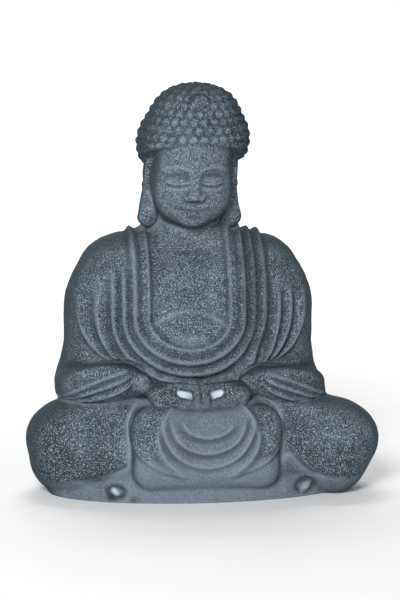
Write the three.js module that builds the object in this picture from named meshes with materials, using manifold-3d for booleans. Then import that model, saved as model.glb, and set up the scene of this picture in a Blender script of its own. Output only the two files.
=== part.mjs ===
// A seated Buddha in meditation, cast in one piece of dark stone mix.
// Millimetres, +Z up. The figure faces -Y, and the origin is the middle of its flat underside.
// The figure is a field of smooth forms, negative inside and positive outside. The field becomes a
// closed mesh, the folds and curls are carved along the surface, and the mesh is then thinned out.
import * as THREE from "three";
import { mergeVertices } from "three/addons/utils/BufferGeometryUtils.js";
import Module from "manifold-3d";

const { clamp, lerp, smoothstep } = THREE.MathUtils;
const { abs, acos, atan2, cos, exp, hypot, max, min, PI, round, sin, sqrt } = Math;

// Driving dimensions. The forms below are drawn close to them, and the whole figure is fitted to them.
const HEIGHT = 300;
const KNEE_SPAN = 260;
const DEPTH = 165;
const TRIANGLES = 9600;

// The field ends a little below the ground. The mesh is cut near the ground before it is thinned, and
// flat at the ground after that.
const FIELD_END = -5;
const BELOW_GROUND = -1;

// The chest stands this far to the figure's right of the lap, and the crown comes back over it
const SWAY = 5;
const SWAY_HEIGHTS = { lap: 30, chest: 90, neck: 215, crown: 304 };

// Trunk: a rounded slab whose shoulders are quarter circles, leaning forward as it rises
const SHOULDER_SPAN = 190;
const SHOULDER_ROUND = 55;
const SHOULDER_TOP = 189;
const TRUNK_HALF_DEPTH = 55;
const TRUNK_LEAN = { low: 92, high: 190, yLow: 15, yHigh: 7 };
const SHOULDER_SLOPE = [[14, 8, 167], 34, [44, 8, 149], 42];
const BELLY = { at: [0, 0, 96], r: [60, 54, 52] };
const NECK = [[0, 12, 172], 32, [0, 4, 212], 23.5];

// Arms lie inside the sleeves, and the cuffs rest on the thighs, rising towards the wrists.
// The figure's left arm lies a little lower.
const ARM_DROP = 4;
const FOREARM = [[75, 4, 84], 21, [40, -55, 85], 8];
const CUFF = { at: [69, -14, 78], r: [33.5, 46, 12.5], rim: 9.5 };
const CUFF_MOUTH = { at: [58, -44, 79], r: [16, 20, 10.5], rim: 9 };
const CUFF_RISE = 0.2;
const CUFF_SHIFT = 1.2;

// Legs crossed under the robe. The knee on the figure's left reaches further out and forward, and lies
// lower.
const LAP_TOP = 110;
const KNEE_SHIFT = 2;
const KNEE_DROP = 2;
const KNEE_FORWARD = 12;
const KNEE = { at: [96, -26, 41], r: [36, 38, 29.5] };
const KNEE_FOOT = { at: [93, -24, 24], r: [33, 40, 27.5] };
const KNEE_FOOT_SHIFT = -3;
const KNEE_END = [88, -31, 38];
const THIGH = [[48, 30, 42], 34, KNEE_END, 28];
const SHIN = [KNEE_END, 28, [20, -53, 34], 28];
const THIGH_TOP = { at: [64, -26, 62], r: [36, 36, 14] };
const SEAT = { at: [0, 26, 34], r: [92, 52, 44] };
const LAP_FILL = { at: [0, -46, 60], r: [54, 30, 19] };

// The base that the legs rest on, and the robe's end over the crossed ankles
const APRON = { at: [-4, -30, 4], r: [110, 50.5, 30] };
const TONGUE = { at: [0, -54, 39], half: [54, 31, 31], rim: 15 };

// Hands folded in the lap, each thumb and first finger closing a ring
const PALM = { at: [25.5, -62, 78], r: [13, 14, 8.8] };
const FINGERS = [[27, -69, 74], 5.5, [0, -78, 70.8], 3];
const FIRST_FINGER = [[3.3, -78.5, 72], 3.4, [3.3, -77, 82], 3];
const THUMB = [[28, -62, 81.5], 4.6, [15, -70, 84.4], 3];
const THUMB_TIP = [[15, -70, 84.4], 3, [3.3, -76, 84.2], 2.8];
const RING_BACK = { at: [11, -67, 79], r: [10, 5, 7] };

// Head, set forward and bowed. Its forms are placed in its own frame.
const HEAD_AT = [0, -6, 244];
const HEAD_TILT = (8 * PI) / 180;
const HEAD_FROM = 185;
const SKULL = { at: [0, -3, -7], r: [31, 33, 37] };
const FOREHEAD = { at: [0, -12, 14], r: [28, 24, 22] };
const CHEEK = { at: [13, -19, -19], r: [15.5, 14, 16] };
const JAW = { at: [8, -14, -28], r: [17, 16, 14] };
const MUZZLE = { at: [0, -17.5, -27], r: [14, 17, 15] };
const CHIN = { at: [0, -24.5, -36], r: [9.5, 8.5, 7.5] };
const EYE_SOCKET = { at: [13.2, -39, -5], r: [10.5, 6, 5.5] };
const EYE = { at: [13, -26.3, -7.4], r: [9, 8.4, 5] };
const NOSE = [[0, -33, -1], 2.6, [0, -38, -18], 3.9];
const NOSTRIL = { at: [4.6, -35.2, -19.6], r: [3.7, 4.2, 3.1] };
const UPPER_LIP = [[0, -34.4, -27.6], 1.9, [8.6, -31.6, -27.8], 0.8];
const LOWER_LIP = [[0, -33.6, -31.2], 2.3, [6, -31.9, -30.4], 1];
const EAR = { at: [31.5, 4, -4], r: [5, 10.5, 15] };
const EAR_HOLLOW = { at: [37, 2.5, -2], r: [3, 5.5, 8.5] };
const LOBE = [[31, 1, -15], 4.2, [32, -3, -39.5], 7.8];
const BEHIND_LOBE = [[22, 8, -18], 9, [22, 6, -38], 9];

// Hair: a full cap with a broad low dome on the crown, and a plain jewel at the front of the dome
const HAIR_CAP = { at: [0, 6, 17], r: [41, 43, 35] };
const HAIR_DOME = { at: [0, 7, 37.5], r: [32, 33, 21] };
const HAIRLINE = { height: 4.5, slope: 0.42, backBend: 0.012 };
const JEWEL = { at: [0, -19, 47], r: [7.5, 6, 7.5] };

// Curls about this wide, in rows this far apart, over a ball of this radius
const CURL = { pitch: 7.8, row: 6.8, height: 2.3, ballR: 43 };
const CURLS_FROM = 205;

// The robe's edge and the rounds below it, as half widths and how far each falls below the middle height
const CHEST = { x: -4, z: 132, nape: 10, fadeFrom: 152, fadeTo: 172 };
const CHEST_OPEN = [28.7, 22.5];
const CHEST_ROUNDS = [[40.3, 33], [47.8, 41], [55.2, 48]];
const CHEST_PLEAT = { width: 2.5, height: 2.7 };
const ROBE_EDGE = { height: 2.2, hem: 0.9, hemAt: 1.6, hemWidth: 1.6 };

// A straight fold on the figure's left of the chest, in place of the outer round
const CHEST_STRAIGHT = { x: 50.5, footX: 41, low: 94, high: 132 };
const BUST_LINE = { z: 136, spread: 70, width: 2.2, height: 0.9 };

// Folds round the upper arms that all run down to the wrists, as half widths at the elbow
const ARM = { x: 45, z: 138, drop: 43, rightArm: [25, 37], leftArm: [16.5, 25, 36] };
const ARM_PLEAT = { width: 2.8, height: 3 };

// Folds of the cuffs, slung from the wrist to the outer end of the hem
const CUFF_SLING = { wrist: [45, 93], hemEnd: [106, 69], drops: [-5.5, 0.5, 7], width: 2.2, height: 2.4 };

// The robe's end has a lobe on each side, a panel over them, and lips that lap over each other in rounds
const TONGUE_TOP = 60;
const TONGUE_LOBES = { at: [0, 52], r: [56, 34], height: 2.2 };
const TONGUE_PANEL = { at: [0, 48], r: [38, 30], height: 1.8 };
const TONGUE_FOLDS = [[17, 11], [26, 22.5], [33, 33]];
const TONGUE_LIP = 2.1;

// Rounds across the back between the shoulders, on a middle that lies this far to the left
const BACK = { x: 6, z: 150, squash: 0.9, rounds: [34, 54, 74], width: 4, height: 1.8 };

// The line where the knees meet the base, which rises steeply towards the robe's end
const BASE_LINE = { x: 6, z: 14, rise: 20, fromX: 57, fall: 12, width: 2.4, depth: 1.4 };

// A shallow hollow on each side of the base, with a pebble in it
const PEBBLE = { at: [70, 9], r: [7.5, 5], shift: 4, hollow: 2, stone: 0.6 };

// Signed distance, near enough, to an ellipsoid
function ellipsoid(x, y, z, { at: [cx, cy, cz], r: [rx, ry, rz] }) {
  const ux = (x - cx) / rx, uy = (y - cy) / ry, uz = (z - cz) / rz;
  const near = hypot(ux, uy, uz);
  return (near * (near - 1)) / max(hypot(ux / rx, uy / ry, uz / rz), 1e-9);
}

// Signed distance to a block of these half sizes with rounded edges
function pad(x, y, z, { at, half, rim }) {
  const [ux, uy, uz] = [x, y, z].map((v, i) => abs(v - at[i]) - half[i] + rim);
  return hypot(max(ux, 0), max(uy, 0), max(uz, 0)) + min(max(ux, uy, uz), 0) - rim;
}

// A flat oval form with a rounded rim
function cushion(x, y, z, { at, r, rim }) {
  const ux = (x - at[0]) / r[0], uy = (y - at[1]) / r[1];
  const near = hypot(ux, uy);
  const beside = (near * (near - 1)) / max(hypot(ux / r[0], uy / r[1]), 1e-9) + rim;
  const above = abs(z - at[2]) - r[2] + rim;
  return hypot(max(beside, 0), max(above, 0)) + min(max(beside, above), 0) - rim;
}

// A limb: a ball of radius ra at a that tapers to a ball of radius rb at b
function limb(x, y, z, [[ax, ay, az], ra, [bx, by, bz], rb]) {
  const dx = bx - ax, dy = by - ay, dz = bz - az;
  const along = clamp(((x - ax) * dx + (y - ay) * dy + (z - az) * dz) / (dx * dx + dy * dy + dz * dz), 0, 1);
  return hypot(x - ax - along * dx, y - ay - along * dy, z - az - along * dz) - lerp(ra, rb, along);
}

// Joins two forms with a fillet about as wide as width
function join(a, b, width) {
  const h = max(width - abs(a - b), 0) / width;
  return min(a, b) - (h * h * width) / 4;
}

// Cuts b out of a, with a rounded edge
const carveOut = (a, b, width) => -join(-a, b, width);

const bell = (t) => exp(-t * t);

function trunk(x, y, z) {
  const axisY = lerp(TRUNK_LEAN.yLow, TRUNK_LEAN.yHigh, smoothstep(z, TRUNK_LEAN.low, TRUNK_LEAN.high));
  const slab = hypot(
    max(abs(x) - (SHOULDER_SPAN / 2 - SHOULDER_ROUND), 0),
    max(abs(y - axisY) - (TRUNK_HALF_DEPTH - SHOULDER_ROUND), 0),
    max(z - (SHOULDER_TOP - SHOULDER_ROUND), 0),
  ) - SHOULDER_ROUND;
  const slope = limb(abs(x), y, z, SHOULDER_SLOPE);
  return join(join(slab, slope, 6), ellipsoid(x, y, z, BELLY), 16);
}

function sleeves(x, y, z) {
  const ax = abs(x + CUFF_SHIFT);
  const level = z + ARM_DROP * smoothstep(x, 20, 60);
  const risen = level + CUFF_RISE * min(y - CUFF.at[1], 0);
  const cuff = join(cushion(ax, y, risen, CUFF), cushion(ax, y, risen, CUFF_MOUTH), 10);
  return join(limb(ax, y, level, FOREARM), cuff, 6);
}

function legs(x, y, z) {
  const side = abs(x - KNEE_SHIFT * smoothstep(abs(x), 40, 90));
  const back = y + KNEE_FORWARD * smoothstep(x, 50, 110);
  const level = z + KNEE_DROP * smoothstep(x, 60, 110);
  const crossed = join(limb(side, back, level, THIGH), limb(side, back, level, SHIN), 10);
  const foot = ellipsoid(abs(x - KNEE_SHIFT - KNEE_FOOT_SHIFT), back, level, KNEE_FOOT);
  return join(crossed, join(ellipsoid(side, back, level, KNEE), foot, 6), 12);
}

function lap(x, y, z) {
  const seated = join(legs(x, y, z), ellipsoid(x, y, z, SEAT), 24);
  const top = join(ellipsoid(x, y, z, LAP_FILL), ellipsoid(abs(x), y, z, THIGH_TOP), 6);
  const based = join(join(seated, top, 6), ellipsoid(x, y, z, APRON), 3);
  return join(based, pad(x, y, z, TONGUE), 2);
}

function hands(ax, y, z) {
  const palm = join(ellipsoid(ax, y, z, PALM), limb(ax, y, z, FINGERS), 3);
  const thumb = join(limb(ax, y, z, THUMB), limb(ax, y, z, THUMB_TIP), 1);
  const ring = join(limb(ax, y, z, FIRST_FINGER), ellipsoid(ax, y, z, RING_BACK), 1);
  return join(join(palm, thumb, 3), ring, 1);
}

// A point in the head's own frame, where forward is -y and the chin is down the face's own axis
function inHead(x, y, z) {
  const ry = y - HEAD_AT[1], rz = z - HEAD_AT[2];
  const turnedY = ry * cos(HEAD_TILT) + rz * sin(HEAD_TILT);
  const turnedZ = -ry * sin(HEAD_TILT) + rz * cos(HEAD_TILT);
  return [x - HEAD_AT[0], turnedY, turnedZ];
}

const aboveHairline = (y, z) =>
  z - HAIRLINE.height + HAIRLINE.slope * y + HAIRLINE.backBend * max(y, 0) ** 2;

function hair(x, y, z) {
  const cap = join(ellipsoid(x, y, z, HAIR_CAP), ellipsoid(x, y, z, HAIR_DOME), 4);
  return join(carveOut(cap, aboveHairline(y, z), 3), ellipsoid(x, y, z, JEWEL), 2);
}

function face(x, y, z) {
  const ax = abs(x);
  let d = join(ellipsoid(x, y, z, SKULL), ellipsoid(ax, y, z, CHEEK), 9);
  d = join(d, ellipsoid(ax, y, z, JAW), 8);
  d = join(d, ellipsoid(x, y, z, MUZZLE), 8);
  d = join(d, ellipsoid(x, y, z, CHIN), 7);
  d = join(d, ellipsoid(x, y, z, FOREHEAD), 8);
  d = carveOut(d, ellipsoid(ax, y, z, EYE_SOCKET), 5);
  d = join(d, ellipsoid(ax, y, z, EYE), 1.5);
  d = join(d, limb(x, y, z, NOSE), 4);
  d = join(d, ellipsoid(ax, y, z, NOSTRIL), 2);
  d = join(d, limb(ax, y, z, UPPER_LIP), 1.5);
  return join(d, limb(ax, y, z, LOWER_LIP), 1.5);
}

// An ear with its long heavy lobe, solid to the jaw behind it
function ear(ax, y, z) {
  const shell = carveOut(ellipsoid(ax, y, z, EAR), ellipsoid(ax, y, z, EAR_HOLLOW), 2);
  return join(join(shell, limb(ax, y, z, LOBE), 4), limb(ax, y, z, BEHIND_LOBE), 3);
}

const head = (x, y, z) => join(join(face(x, y, z), ear(abs(x), y, z), 2), hair(x, y, z), 1.5);

// The figure's own middle line at a height is where this is zero
function fromMiddle(x, z) {
  const { lap: low, chest, neck, crown } = SWAY_HEIGHTS;
  return x + SWAY * (smoothstep(z, low, chest) - smoothstep(z, neck, crown));
}

export function figure(wx, y, z) {
  const x = fromMiddle(wx, z);
  const ax = abs(x);
  let d = join(trunk(x, y, z), sleeves(x, y, z), 3 + 12 * smoothstep(ax, 60, 88));
  if (z < LAP_TOP) d = join(join(d, lap(wx, y, z), 3), hands(ax, y, z), 2);
  d = join(d, limb(x, y, z, NECK), 8);
  if (z > HEAD_FROM) d = join(d, head(...inHead(x, y, z)), 2);
  return d;
}

// A line raised this high: distance is measured across it
const fold = (distance, width, height) => height * bell(distance / width);

// A rounded ridge of cloth with a shallow valley on each side
function pleat(distance, { width, height }) {
  const beside = bell(distance / width - 2.1) + bell(distance / width + 2.1);
  return height * (bell(distance / width) - 0.4 * beside);
}

// Distance, near enough, outside an oval
const oval = (u, v, { at, r }) => (hypot((u - at[0]) / r[0], (v - at[1]) / r[1]) - 1) * min(...r);

// Distance outside a U that hangs from the nape: straight sides, and a round below the middle height
function uLine(x, y, z, [halfWidth, fall]) {
  const below = max(CHEST.z - z, 0) / fall;
  const q = hypot((x - CHEST.x) / halfWidth, below, max(y - CHEST.nape, 0) / halfWidth);
  return (q - 1) * lerp(halfWidth, fall, clamp(below, 0, 1));
}

// Folds of the robe that hang in rounds below the bare chest and close round the nape
function chestFolds(x, y, z) {
  const outer = CHEST_ROUNDS.length - 1;
  let rounds = 0;
  CHEST_ROUNDS.forEach((line, index) => {
    if (x > 0 && index === outer) return;
    const fades = x < 0 && index > 0;
    const shown = fades ? 1 - smoothstep(z, CHEST.fadeFrom, CHEST.fadeTo) : 1;
    rounds += pleat(uLine(x, y, z, line), CHEST_PLEAT) * shown;
  });
  const { x: topX, footX, low, high } = CHEST_STRAIGHT;
  const straight = lerp(footX, topX, smoothstep(z, low, high));
  if (x > 0) rounds += pleat(x - straight, CHEST_PLEAT) * smoothstep(z, low - 2, low + 6);
  const opening = uLine(x, y, z, CHEST_OPEN);
  const bustZ = BUST_LINE.z - (x - CHEST.x) ** 2 / BUST_LINE.spread;
  const bust = fold(z - bustZ, BUST_LINE.width, BUST_LINE.height) * (1 - smoothstep(opening, -6, -2));
  const robe = ROBE_EDGE.height * smoothstep(opening, -1.2, 1.2);
  const hem = fold(opening - ROBE_EDGE.hemAt, ROBE_EDGE.hemWidth, ROBE_EDGE.hem);
  return robe + hem + (rounds + bust) * (1 - smoothstep(y, CHEST.nape - 5, CHEST.nape + 20));
}

function armFolds(x, z) {
  const height = clamp(1 - ((ARM.z - z) / ARM.drop) ** 2, 0.06, 1);
  const w = (abs(x) - ARM.x) / sqrt(z < ARM.z ? height : 1);
  const foot = ARM.z - ARM.drop;
  const shown = smoothstep(z, foot, foot + 8) * (1 - smoothstep(z, ARM.z + 2, ARM.z + 22));
  let h = 0;
  for (const width of x > 0 ? ARM.leftArm : ARM.rightArm) h += pleat(w - width, ARM_PLEAT);
  return h * shown;
}

function cuffFolds(x, z) {
  const { wrist, hemEnd, drops } = CUFF_SLING;
  const acrossX = abs(x) - wrist[0], downZ = z + ARM_DROP * smoothstep(x, 20, 60) - wrist[1];
  const runX = hemEnd[0] - wrist[0], runZ = hemEnd[1] - wrist[1];
  const length = hypot(runX, runZ);
  const along = (acrossX * runX + downZ * runZ) / length ** 2;
  const below = (acrossX * runZ - downZ * runX) / length;
  const inside = clamp(along, 0, 1);
  const sag = 2.6 * sqrt(inside) * (1 - inside);
  const h = max(...drops.map((drop) => pleat(below - drop * sag, CUFF_SLING)));
  return h * smoothstep(along, 0.03, 0.15) * (1 - smoothstep(along, 0.85, 0.98));
}

// The robe's end over the crossed ankles, each fold's lip lapping over the one below
function tongueFolds(x, z) {
  const lobes = TONGUE_LOBES.height * (1 - smoothstep(oval(x, z, TONGUE_LOBES), -0.8, 0.8));
  const panel = oval(x, z, TONGUE_PANEL);
  const edge = fold(panel + 1.5, 1.8, TONGUE_PANEL.height) + fold(panel - 3, 2.6, -1.5);
  let lips = 0;
  for (const [halfWidth, drop] of TONGUE_FOLDS) {
    const below = (hypot(x / halfWidth, min(z - TONGUE_TOP, 0) / drop) - 1) * drop;
    lips += TONGUE_LIP * (below < 0 ? exp(below / 4) : bell(below / 1.5)) - fold(below - 3, 1.8, 1);
  }
  lips *= 1 - smoothstep(z, TONGUE_TOP - 6, TONGUE_TOP + 3);
  return lobes * smoothstep(abs(x), 10, 24) + edge * smoothstep(abs(x), 14, 27) + lips;
}

function backFolds(x, z) {
  const q = hypot(x - BACK.x, max(BACK.z - z, 0) / BACK.squash);
  let h = 0;
  for (const round of BACK.rounds) h += pleat(q - round, BACK);
  return h * (1 - smoothstep(z, 165, 190)) * smoothstep(z, 62, 80);
}

// The crease between the knees and the base, and the pebbles in the base
function baseMarks(x, z) {
  const line = BASE_LINE;
  const above = z - line.z - line.rise * exp((line.fromX - abs(x - line.x)) / line.fall);
  const crease = fold(above, line.width, -line.depth) * smoothstep(abs(x), 52, 60);
  const out = oval(abs(x - PEBBLE.shift), z, PEBBLE);
  const pebble = PEBBLE.stone * (1 - smoothstep(out, -2.5, 0)) - fold(out, 1.8, PEBBLE.hollow);
  return crease * (1 - smoothstep(abs(x), 92, 104)) + pebble;
}

// Rows of curls over the hair: how far each point of the cap stands up
function curls(x, y, z) {
  const [, middleY, middleZ] = HAIR_CAP.at;
  const polar = acos((z - middleZ) / hypot(x, y - middleY, z - middleZ));
  const around = atan2(x, middleY - y);
  const rowHere = (polar * CURL.ballR) / CURL.row;
  let h = 0;
  for (let row = round(rowHere) - 1; row <= round(rowHere) + 1; row++) {
    if (row < 0) continue;
    const ring = CURL.ballR * sin((row * CURL.row) / CURL.ballR);
    const count = max(1, round((2 * PI * ring) / CURL.pitch));
    const turn = (around / (2 * PI)) * count - (row % 2) / 2;
    const aside = ((turn - round(turn)) / count) * 2 * PI * CURL.ballR * sin(polar);
    const r = hypot(aside, (row - rowHere) * CURL.row);
    h = max(h, CURL.height * (1 - (r / (CURL.pitch / 2)) ** 2));
  }
  return h;
}

// How far the carving stands out at a point of the surface, whose outward normal is given
export function carving(wx, y, z, normal) {
  const x = fromMiddle(wx, z);
  const touches = (distance, reach = 1) => 1 - smoothstep(abs(distance), reach, reach + 3);
  if (z > CURLS_FROM) {
    const [hx, hy, hz] = inHead(x, y, z);
    const bare = min(ellipsoid(hx, hy, hz, JEWEL), 3);
    const shown = touches(hair(hx, hy, hz)) * smoothstep(aboveHairline(hy, hz), 0, 3) * smoothstep(bare, 0, 1.5);
    return shown > 0 ? shown * curls(hx, hy, hz) : 0;
  }
  const front = smoothstep(-normal.y, 0, 0.4);
  const slab = trunk(x, y, z);
  const bare = join(slab, limb(x, y, z, NECK), 8);
  let h = touches(bare) * max(front, smoothstep(z, 165, 180)) * chestFolds(x, y, z);
  h += touches(slab, 2) * (1 - smoothstep(y, 10, 30)) * armFolds(x, z);
  h += touches(slab, 2) * smoothstep(normal.y, 0, 0.5) * backFolds(x, z);
  if (z > LAP_TOP) return h;
  const tongue = pad(wx, y, z, TONGUE);
  h += touches(sleeves(x, y, z)) * front * cuffFolds(x, z);
  h += touches(tongue) * front * tongueFolds(wx, z);
  return h + smoothstep(tongue, 1, 4) * front * baseMarks(wx, z);
}

// How wide a cell of the sampling grid is along each axis, coarse and fine, and where it is fine: over
// the head, the chest and the folded hands
const GRID = {
  x: { from: -140, to: 142, coarse: 3.2, fine: 2.3, fineFrom: -70, fineTo: 66 },
  y: { from: -100, to: 90, coarse: 3, fine: 2.4, fineFrom: -94, fineTo: 0 },
  z: { from: -8, to: 312, coarse: 3, fine: 2.3, fineFrom: 190, fineTo: 308 },
};

function gridLines({ from, to, coarse, fine, fineFrom, fineTo }) {
  const lines = [];
  for (let v = from; v < to + coarse; v += v >= fineFrom && v < fineTo ? fine : coarse) lines.push(v);
  return lines;
}

// Marching tetrahedra: each cell is split into six tetrahedra round its long diagonal, so the surface
// always closes. A corner's index has bit 0 for x, bit 1 for y and bit 2 for z.
const TETRAHEDRA = [[1, 3], [3, 2], [2, 6], [6, 4], [4, 5], [5, 1]].map(([a, b]) => [0, a, b, 7]);

export function polygonise(field, xs, ys, zs) {
  const nx = xs.length, ny = ys.length, nz = zs.length;
  const values = new Float32Array(nx * ny * nz);
  for (let k = 0, n = 0; k < nz; k++)
    for (let j = 0; j < ny; j++)
      for (let i = 0; i < nx; i++, n++) values[n] = field(xs[i], ys[j], zs[k]) || 1e-6;
  const step = [0, 1, nx, nx + 1, nx * ny, nx * ny + 1, nx * ny + nx, nx * ny + nx + 1];
  const positions = [], faces = [], made = new Map();
  const corner = (n) => [xs[n % nx], ys[((n / nx) | 0) % ny], zs[(n / (nx * ny)) | 0]];
  const crossing = (a, b) => {
    const key = min(a, b) * 8 + step.indexOf(abs(b - a));
    let v = made.get(key);
    if (v === undefined) {
      const t = values[a] / (values[a] - values[b]), p = corner(a), q = corner(b);
      v = positions.length / 3;
      positions.push(lerp(p[0], q[0], t), lerp(p[1], q[1], t), lerp(p[2], q[2], t));
      made.set(key, v);
    }
    return v;
  };
  const addFace = (a, b, c, inside, outside) => {
    const at = (v) => new THREE.Vector3().fromArray(positions, v * 3);
    const out = new THREE.Vector3(...corner(outside)).sub(new THREE.Vector3(...corner(inside)));
    const normal = at(b).sub(at(a)).cross(at(c).sub(at(a)));
    faces.push(...(normal.dot(out) > 0 ? [a, b, c] : [a, c, b]));
  };
  for (let k = 0; k < nz - 1; k++)
    for (let j = 0; j < ny - 1; j++)
      for (let i = 0; i < nx - 1; i++) {
        const first = i + nx * (j + ny * k);
        const solid = step.reduce((sum, s) => sum + (values[first + s] < 0), 0);
        if (solid === 0 || solid === 8) continue;
        for (const tet of TETRAHEDRA) {
          const corners = tet.map((c) => first + step[c]);
          const ins = corners.filter((n) => values[n] < 0), outs = corners.filter((n) => values[n] >= 0);
          if (ins.length === 1) addFace(...outs.map((o) => crossing(ins[0], o)), ins[0], outs[0]);
          if (ins.length === 3) addFace(...ins.map((i3) => crossing(i3, outs[0])), ins[0], outs[0]);
          if (ins.length !== 2) continue;
          const [a, b, c, e] = [crossing(ins[0], outs[0]), crossing(ins[0], outs[1]),
            crossing(ins[1], outs[1]), crossing(ins[1], outs[0])];
          addFace(a, b, c, ins[0], outs[0]);
          addFace(a, c, e, ins[0], outs[0]);
        }
      }
  return { positions: Float64Array.from(positions), faces: Uint32Array.from(faces) };
}

// Evens out the mesh: each vertex goes to the middle of its neighbours
function relax({ positions, faces }) {
  const sums = new Float64Array(positions.length);
  const counts = new Float64Array(positions.length / 3);
  for (let f = 0; f < faces.length; f++) {
    const next = f % 3 === 2 ? f - 2 : f + 1;
    counts[faces[f]]++;
    for (let i = 0; i < 3; i++) sums[faces[f] * 3 + i] += positions[faces[next] * 3 + i];
  }
  for (let i = 0; i < sums.length; i++) positions[i] = sums[i] / counts[(i / 3) | 0];
}

// Moves each vertex onto the field's surface, and then out along the normal by move(x, y, z, normal)
const SLOPE_STEP = 0.2;

function settle({ positions }, move) {
  const step = SLOPE_STEP;
  const normal = new THREE.Vector3();
  for (let v = 0; v < positions.length; v += 3) {
    const [x, y, z] = positions.subarray(v, v + 3);
    normal.set(
      figure(x + step, y, z) - figure(x - step, y, z),
      figure(x, y + step, z) - figure(x, y - step, z),
      figure(x, y, z + step) - figure(x, y, z - step),
    );
    const steepness = normal.length() / (2 * step);
    normal.normalize();
    const out = move(x, y, z, normal) - clamp(figure(x, y, z) / steepness, -1, 1);
    for (let i = 0; i < 3; i++) positions[v + i] += normal.getComponent(i) * out;
  }
}

// Thins a closed mesh: the edge whose collapse moves the surface least goes first. Each vertex carries
// the sum of its faces' planes as a quadric, ten numbers of a symmetric 4 x 4 matrix.
// The face keeps more of its triangles, and no triangle shrinks to a sliver or turns over.
const FACE_FROM = { z: 200, y: -20 };
const FACE_CARE = 6;
const SLIVER = 0.05;
const DEGENERATE = 1e-5;
const MOST_TURN = 0.25;
const SOLVABLE = 1e-4;
const EVEN_OUT = 1e-6;

function thin(geometry, target) {
  const positions = Float64Array.from(geometry.attributes.position.array);
  const faces = Uint32Array.from(geometry.index.array);
  const count = positions.length / 3;
  const quadrics = new Float64Array(count * 10);
  const around = Array.from({ length: count }, () => []);
  const stamp = new Int32Array(count);
  const alive = new Uint8Array(faces.length / 3).fill(1);
  const a = new THREE.Vector3(), b = new THREE.Vector3(), c = new THREE.Vector3();
  const planeOf = (p, q, r) => b.copy(q).sub(p).cross(c.copy(r).sub(p));
  const pointAt = (v) => new THREE.Vector3().fromArray(positions, v * 3);

  for (let f = 0; f < alive.length; f++) {
    const corners = faces.subarray(f * 3, f * 3 + 3);
    const [p, q, r] = [...corners].map(pointAt);
    const n = planeOf(p, q, r).clone();
    const area = n.length() / 2;
    n.normalize();
    const plane = [n.x, n.y, n.z, -n.dot(p)];
    for (const v of corners) {
      around[v].push(f);
      const onFace = positions[v * 3 + 2] > FACE_FROM.z && positions[v * 3 + 1] < FACE_FROM.y;
      const weight = area * (onFace ? FACE_CARE : 1);
      for (let i = 0, k = 0; i < 4; i++)
        for (let j = i; j < 4; j++, k++) quadrics[v * 10 + k] += plane[i] * plane[j] * weight;
    }
  }

  const errorAt = (q, { x, y, z }) => q[0] * x * x + 2 * q[1] * x * y + 2 * q[2] * x * z + 2 * q[3] * x
    + q[4] * y * y + 2 * q[5] * y * z + 2 * q[6] * y + q[7] * z * z + 2 * q[8] * z + q[9];

  // The best place for the vertex that replaces u and v, and what it costs
  const sum = new Float64Array(10);
  function best(u, v) {
    for (let k = 0; k < 10; k++) sum[k] = quadrics[u * 10 + k] + quadrics[v * 10 + k];
    const places = [pointAt(u), pointAt(v)];
    places.push(places[0].clone().lerp(places[1], 0.5));
    const [xx, xy, xz, x1, yy, yz, y1, zz, z1] = sum;
    const det = xx * (yy * zz - yz * yz) - xy * (xy * zz - yz * xz) + xz * (xy * yz - yy * xz);
    if (abs(det) > SOLVABLE) {
      const solved = new THREE.Vector3(
        -(x1 * (yy * zz - yz * yz) - xy * (y1 * zz - yz * z1) + xz * (y1 * yz - yy * z1)) / det,
        -(xx * (y1 * zz - yz * z1) - x1 * (xy * zz - yz * xz) + xz * (xy * z1 - y1 * xz)) / det,
        -(xx * (yy * z1 - y1 * yz) - xy * (xy * z1 - y1 * xz) + x1 * (xy * yz - yy * xz)) / det,
      );
      if (solved.distanceTo(places[2]) < 2 * places[0].distanceTo(places[1])) places.push(solved);
    }
    const costs = places.map((p) => errorAt(sum, p) + EVEN_OUT * p.distanceToSquared(places[2]));
    const cheapest = costs.indexOf(min(...costs));
    return { cost: costs[cheapest], place: places[cheapest] };
  }

  // A heap of edges, cheapest on top
  const heap = [];
  const rise = (entry) => {
    let i = heap.push(entry) - 1;
    for (let up = (i - 1) >> 1; i > 0 && heap[up].cost > entry.cost; up = (i - 1) >> 1) {
      heap[i] = heap[up];
      i = up;
    }
    heap[i] = entry;
  };
  const take = () => {
    const top = heap[0], last = heap.pop();
    if (heap.length === 0) return top;
    let i = 0;
    for (let child = 1; child < heap.length; child = 2 * i + 1) {
      if (child + 1 < heap.length && heap[child + 1].cost < heap[child].cost) child++;
      if (heap[child].cost >= last.cost) break;
      heap[i] = heap[child];
      i = child;
    }
    heap[i] = last;
    return top;
  };
  const offer = (u, v) => rise({ cost: best(u, v).cost, u, v, madeU: stamp[u], madeV: stamp[v] });
  const neighbours = (v) => {
    const ring = new Set();
    for (const f of around[v]) for (let i = 0; i < 3; i++) ring.add(faces[f * 3 + i]);
    ring.delete(v);
    return ring;
  };
  for (let f = 0; f < alive.length; f++)
    for (let i = 0; i < 3; i++) {
      const u = faces[f * 3 + i], v = faces[f * 3 + ((i + 1) % 3)];
      if (u < v) offer(u, v);
    }

  // Whether a face round u, once u has moved to place, would turn over or shrink to a sliver
  const spoils = (u, other, place) => around[u].some((f) => {
    const corners = [...faces.subarray(f * 3, f * 3 + 3)];
    if (corners.includes(other)) return false;
    const before = corners.map(pointAt);
    const after = corners.map((w, i) => (w === u ? place : before[i]));
    const fullness = (points, normal) => {
      const longest = max(...points.map((p, i) => p.distanceToSquared(points[(i + 1) % 3])));
      return normal.length() / longest;
    };
    const normalBefore = planeOf(...before).clone();
    const fullBefore = fullness(before, normalBefore);
    const normalAfter = planeOf(...after);
    const fullAfter = fullness(after, normalAfter);
    const turned = normalBefore.dot(normalAfter) < MOST_TURN * normalBefore.length() * normalAfter.length();
    return (fullBefore > DEGENERATE && turned) || fullAfter < min(SLIVER, fullBefore);
  });

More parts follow.
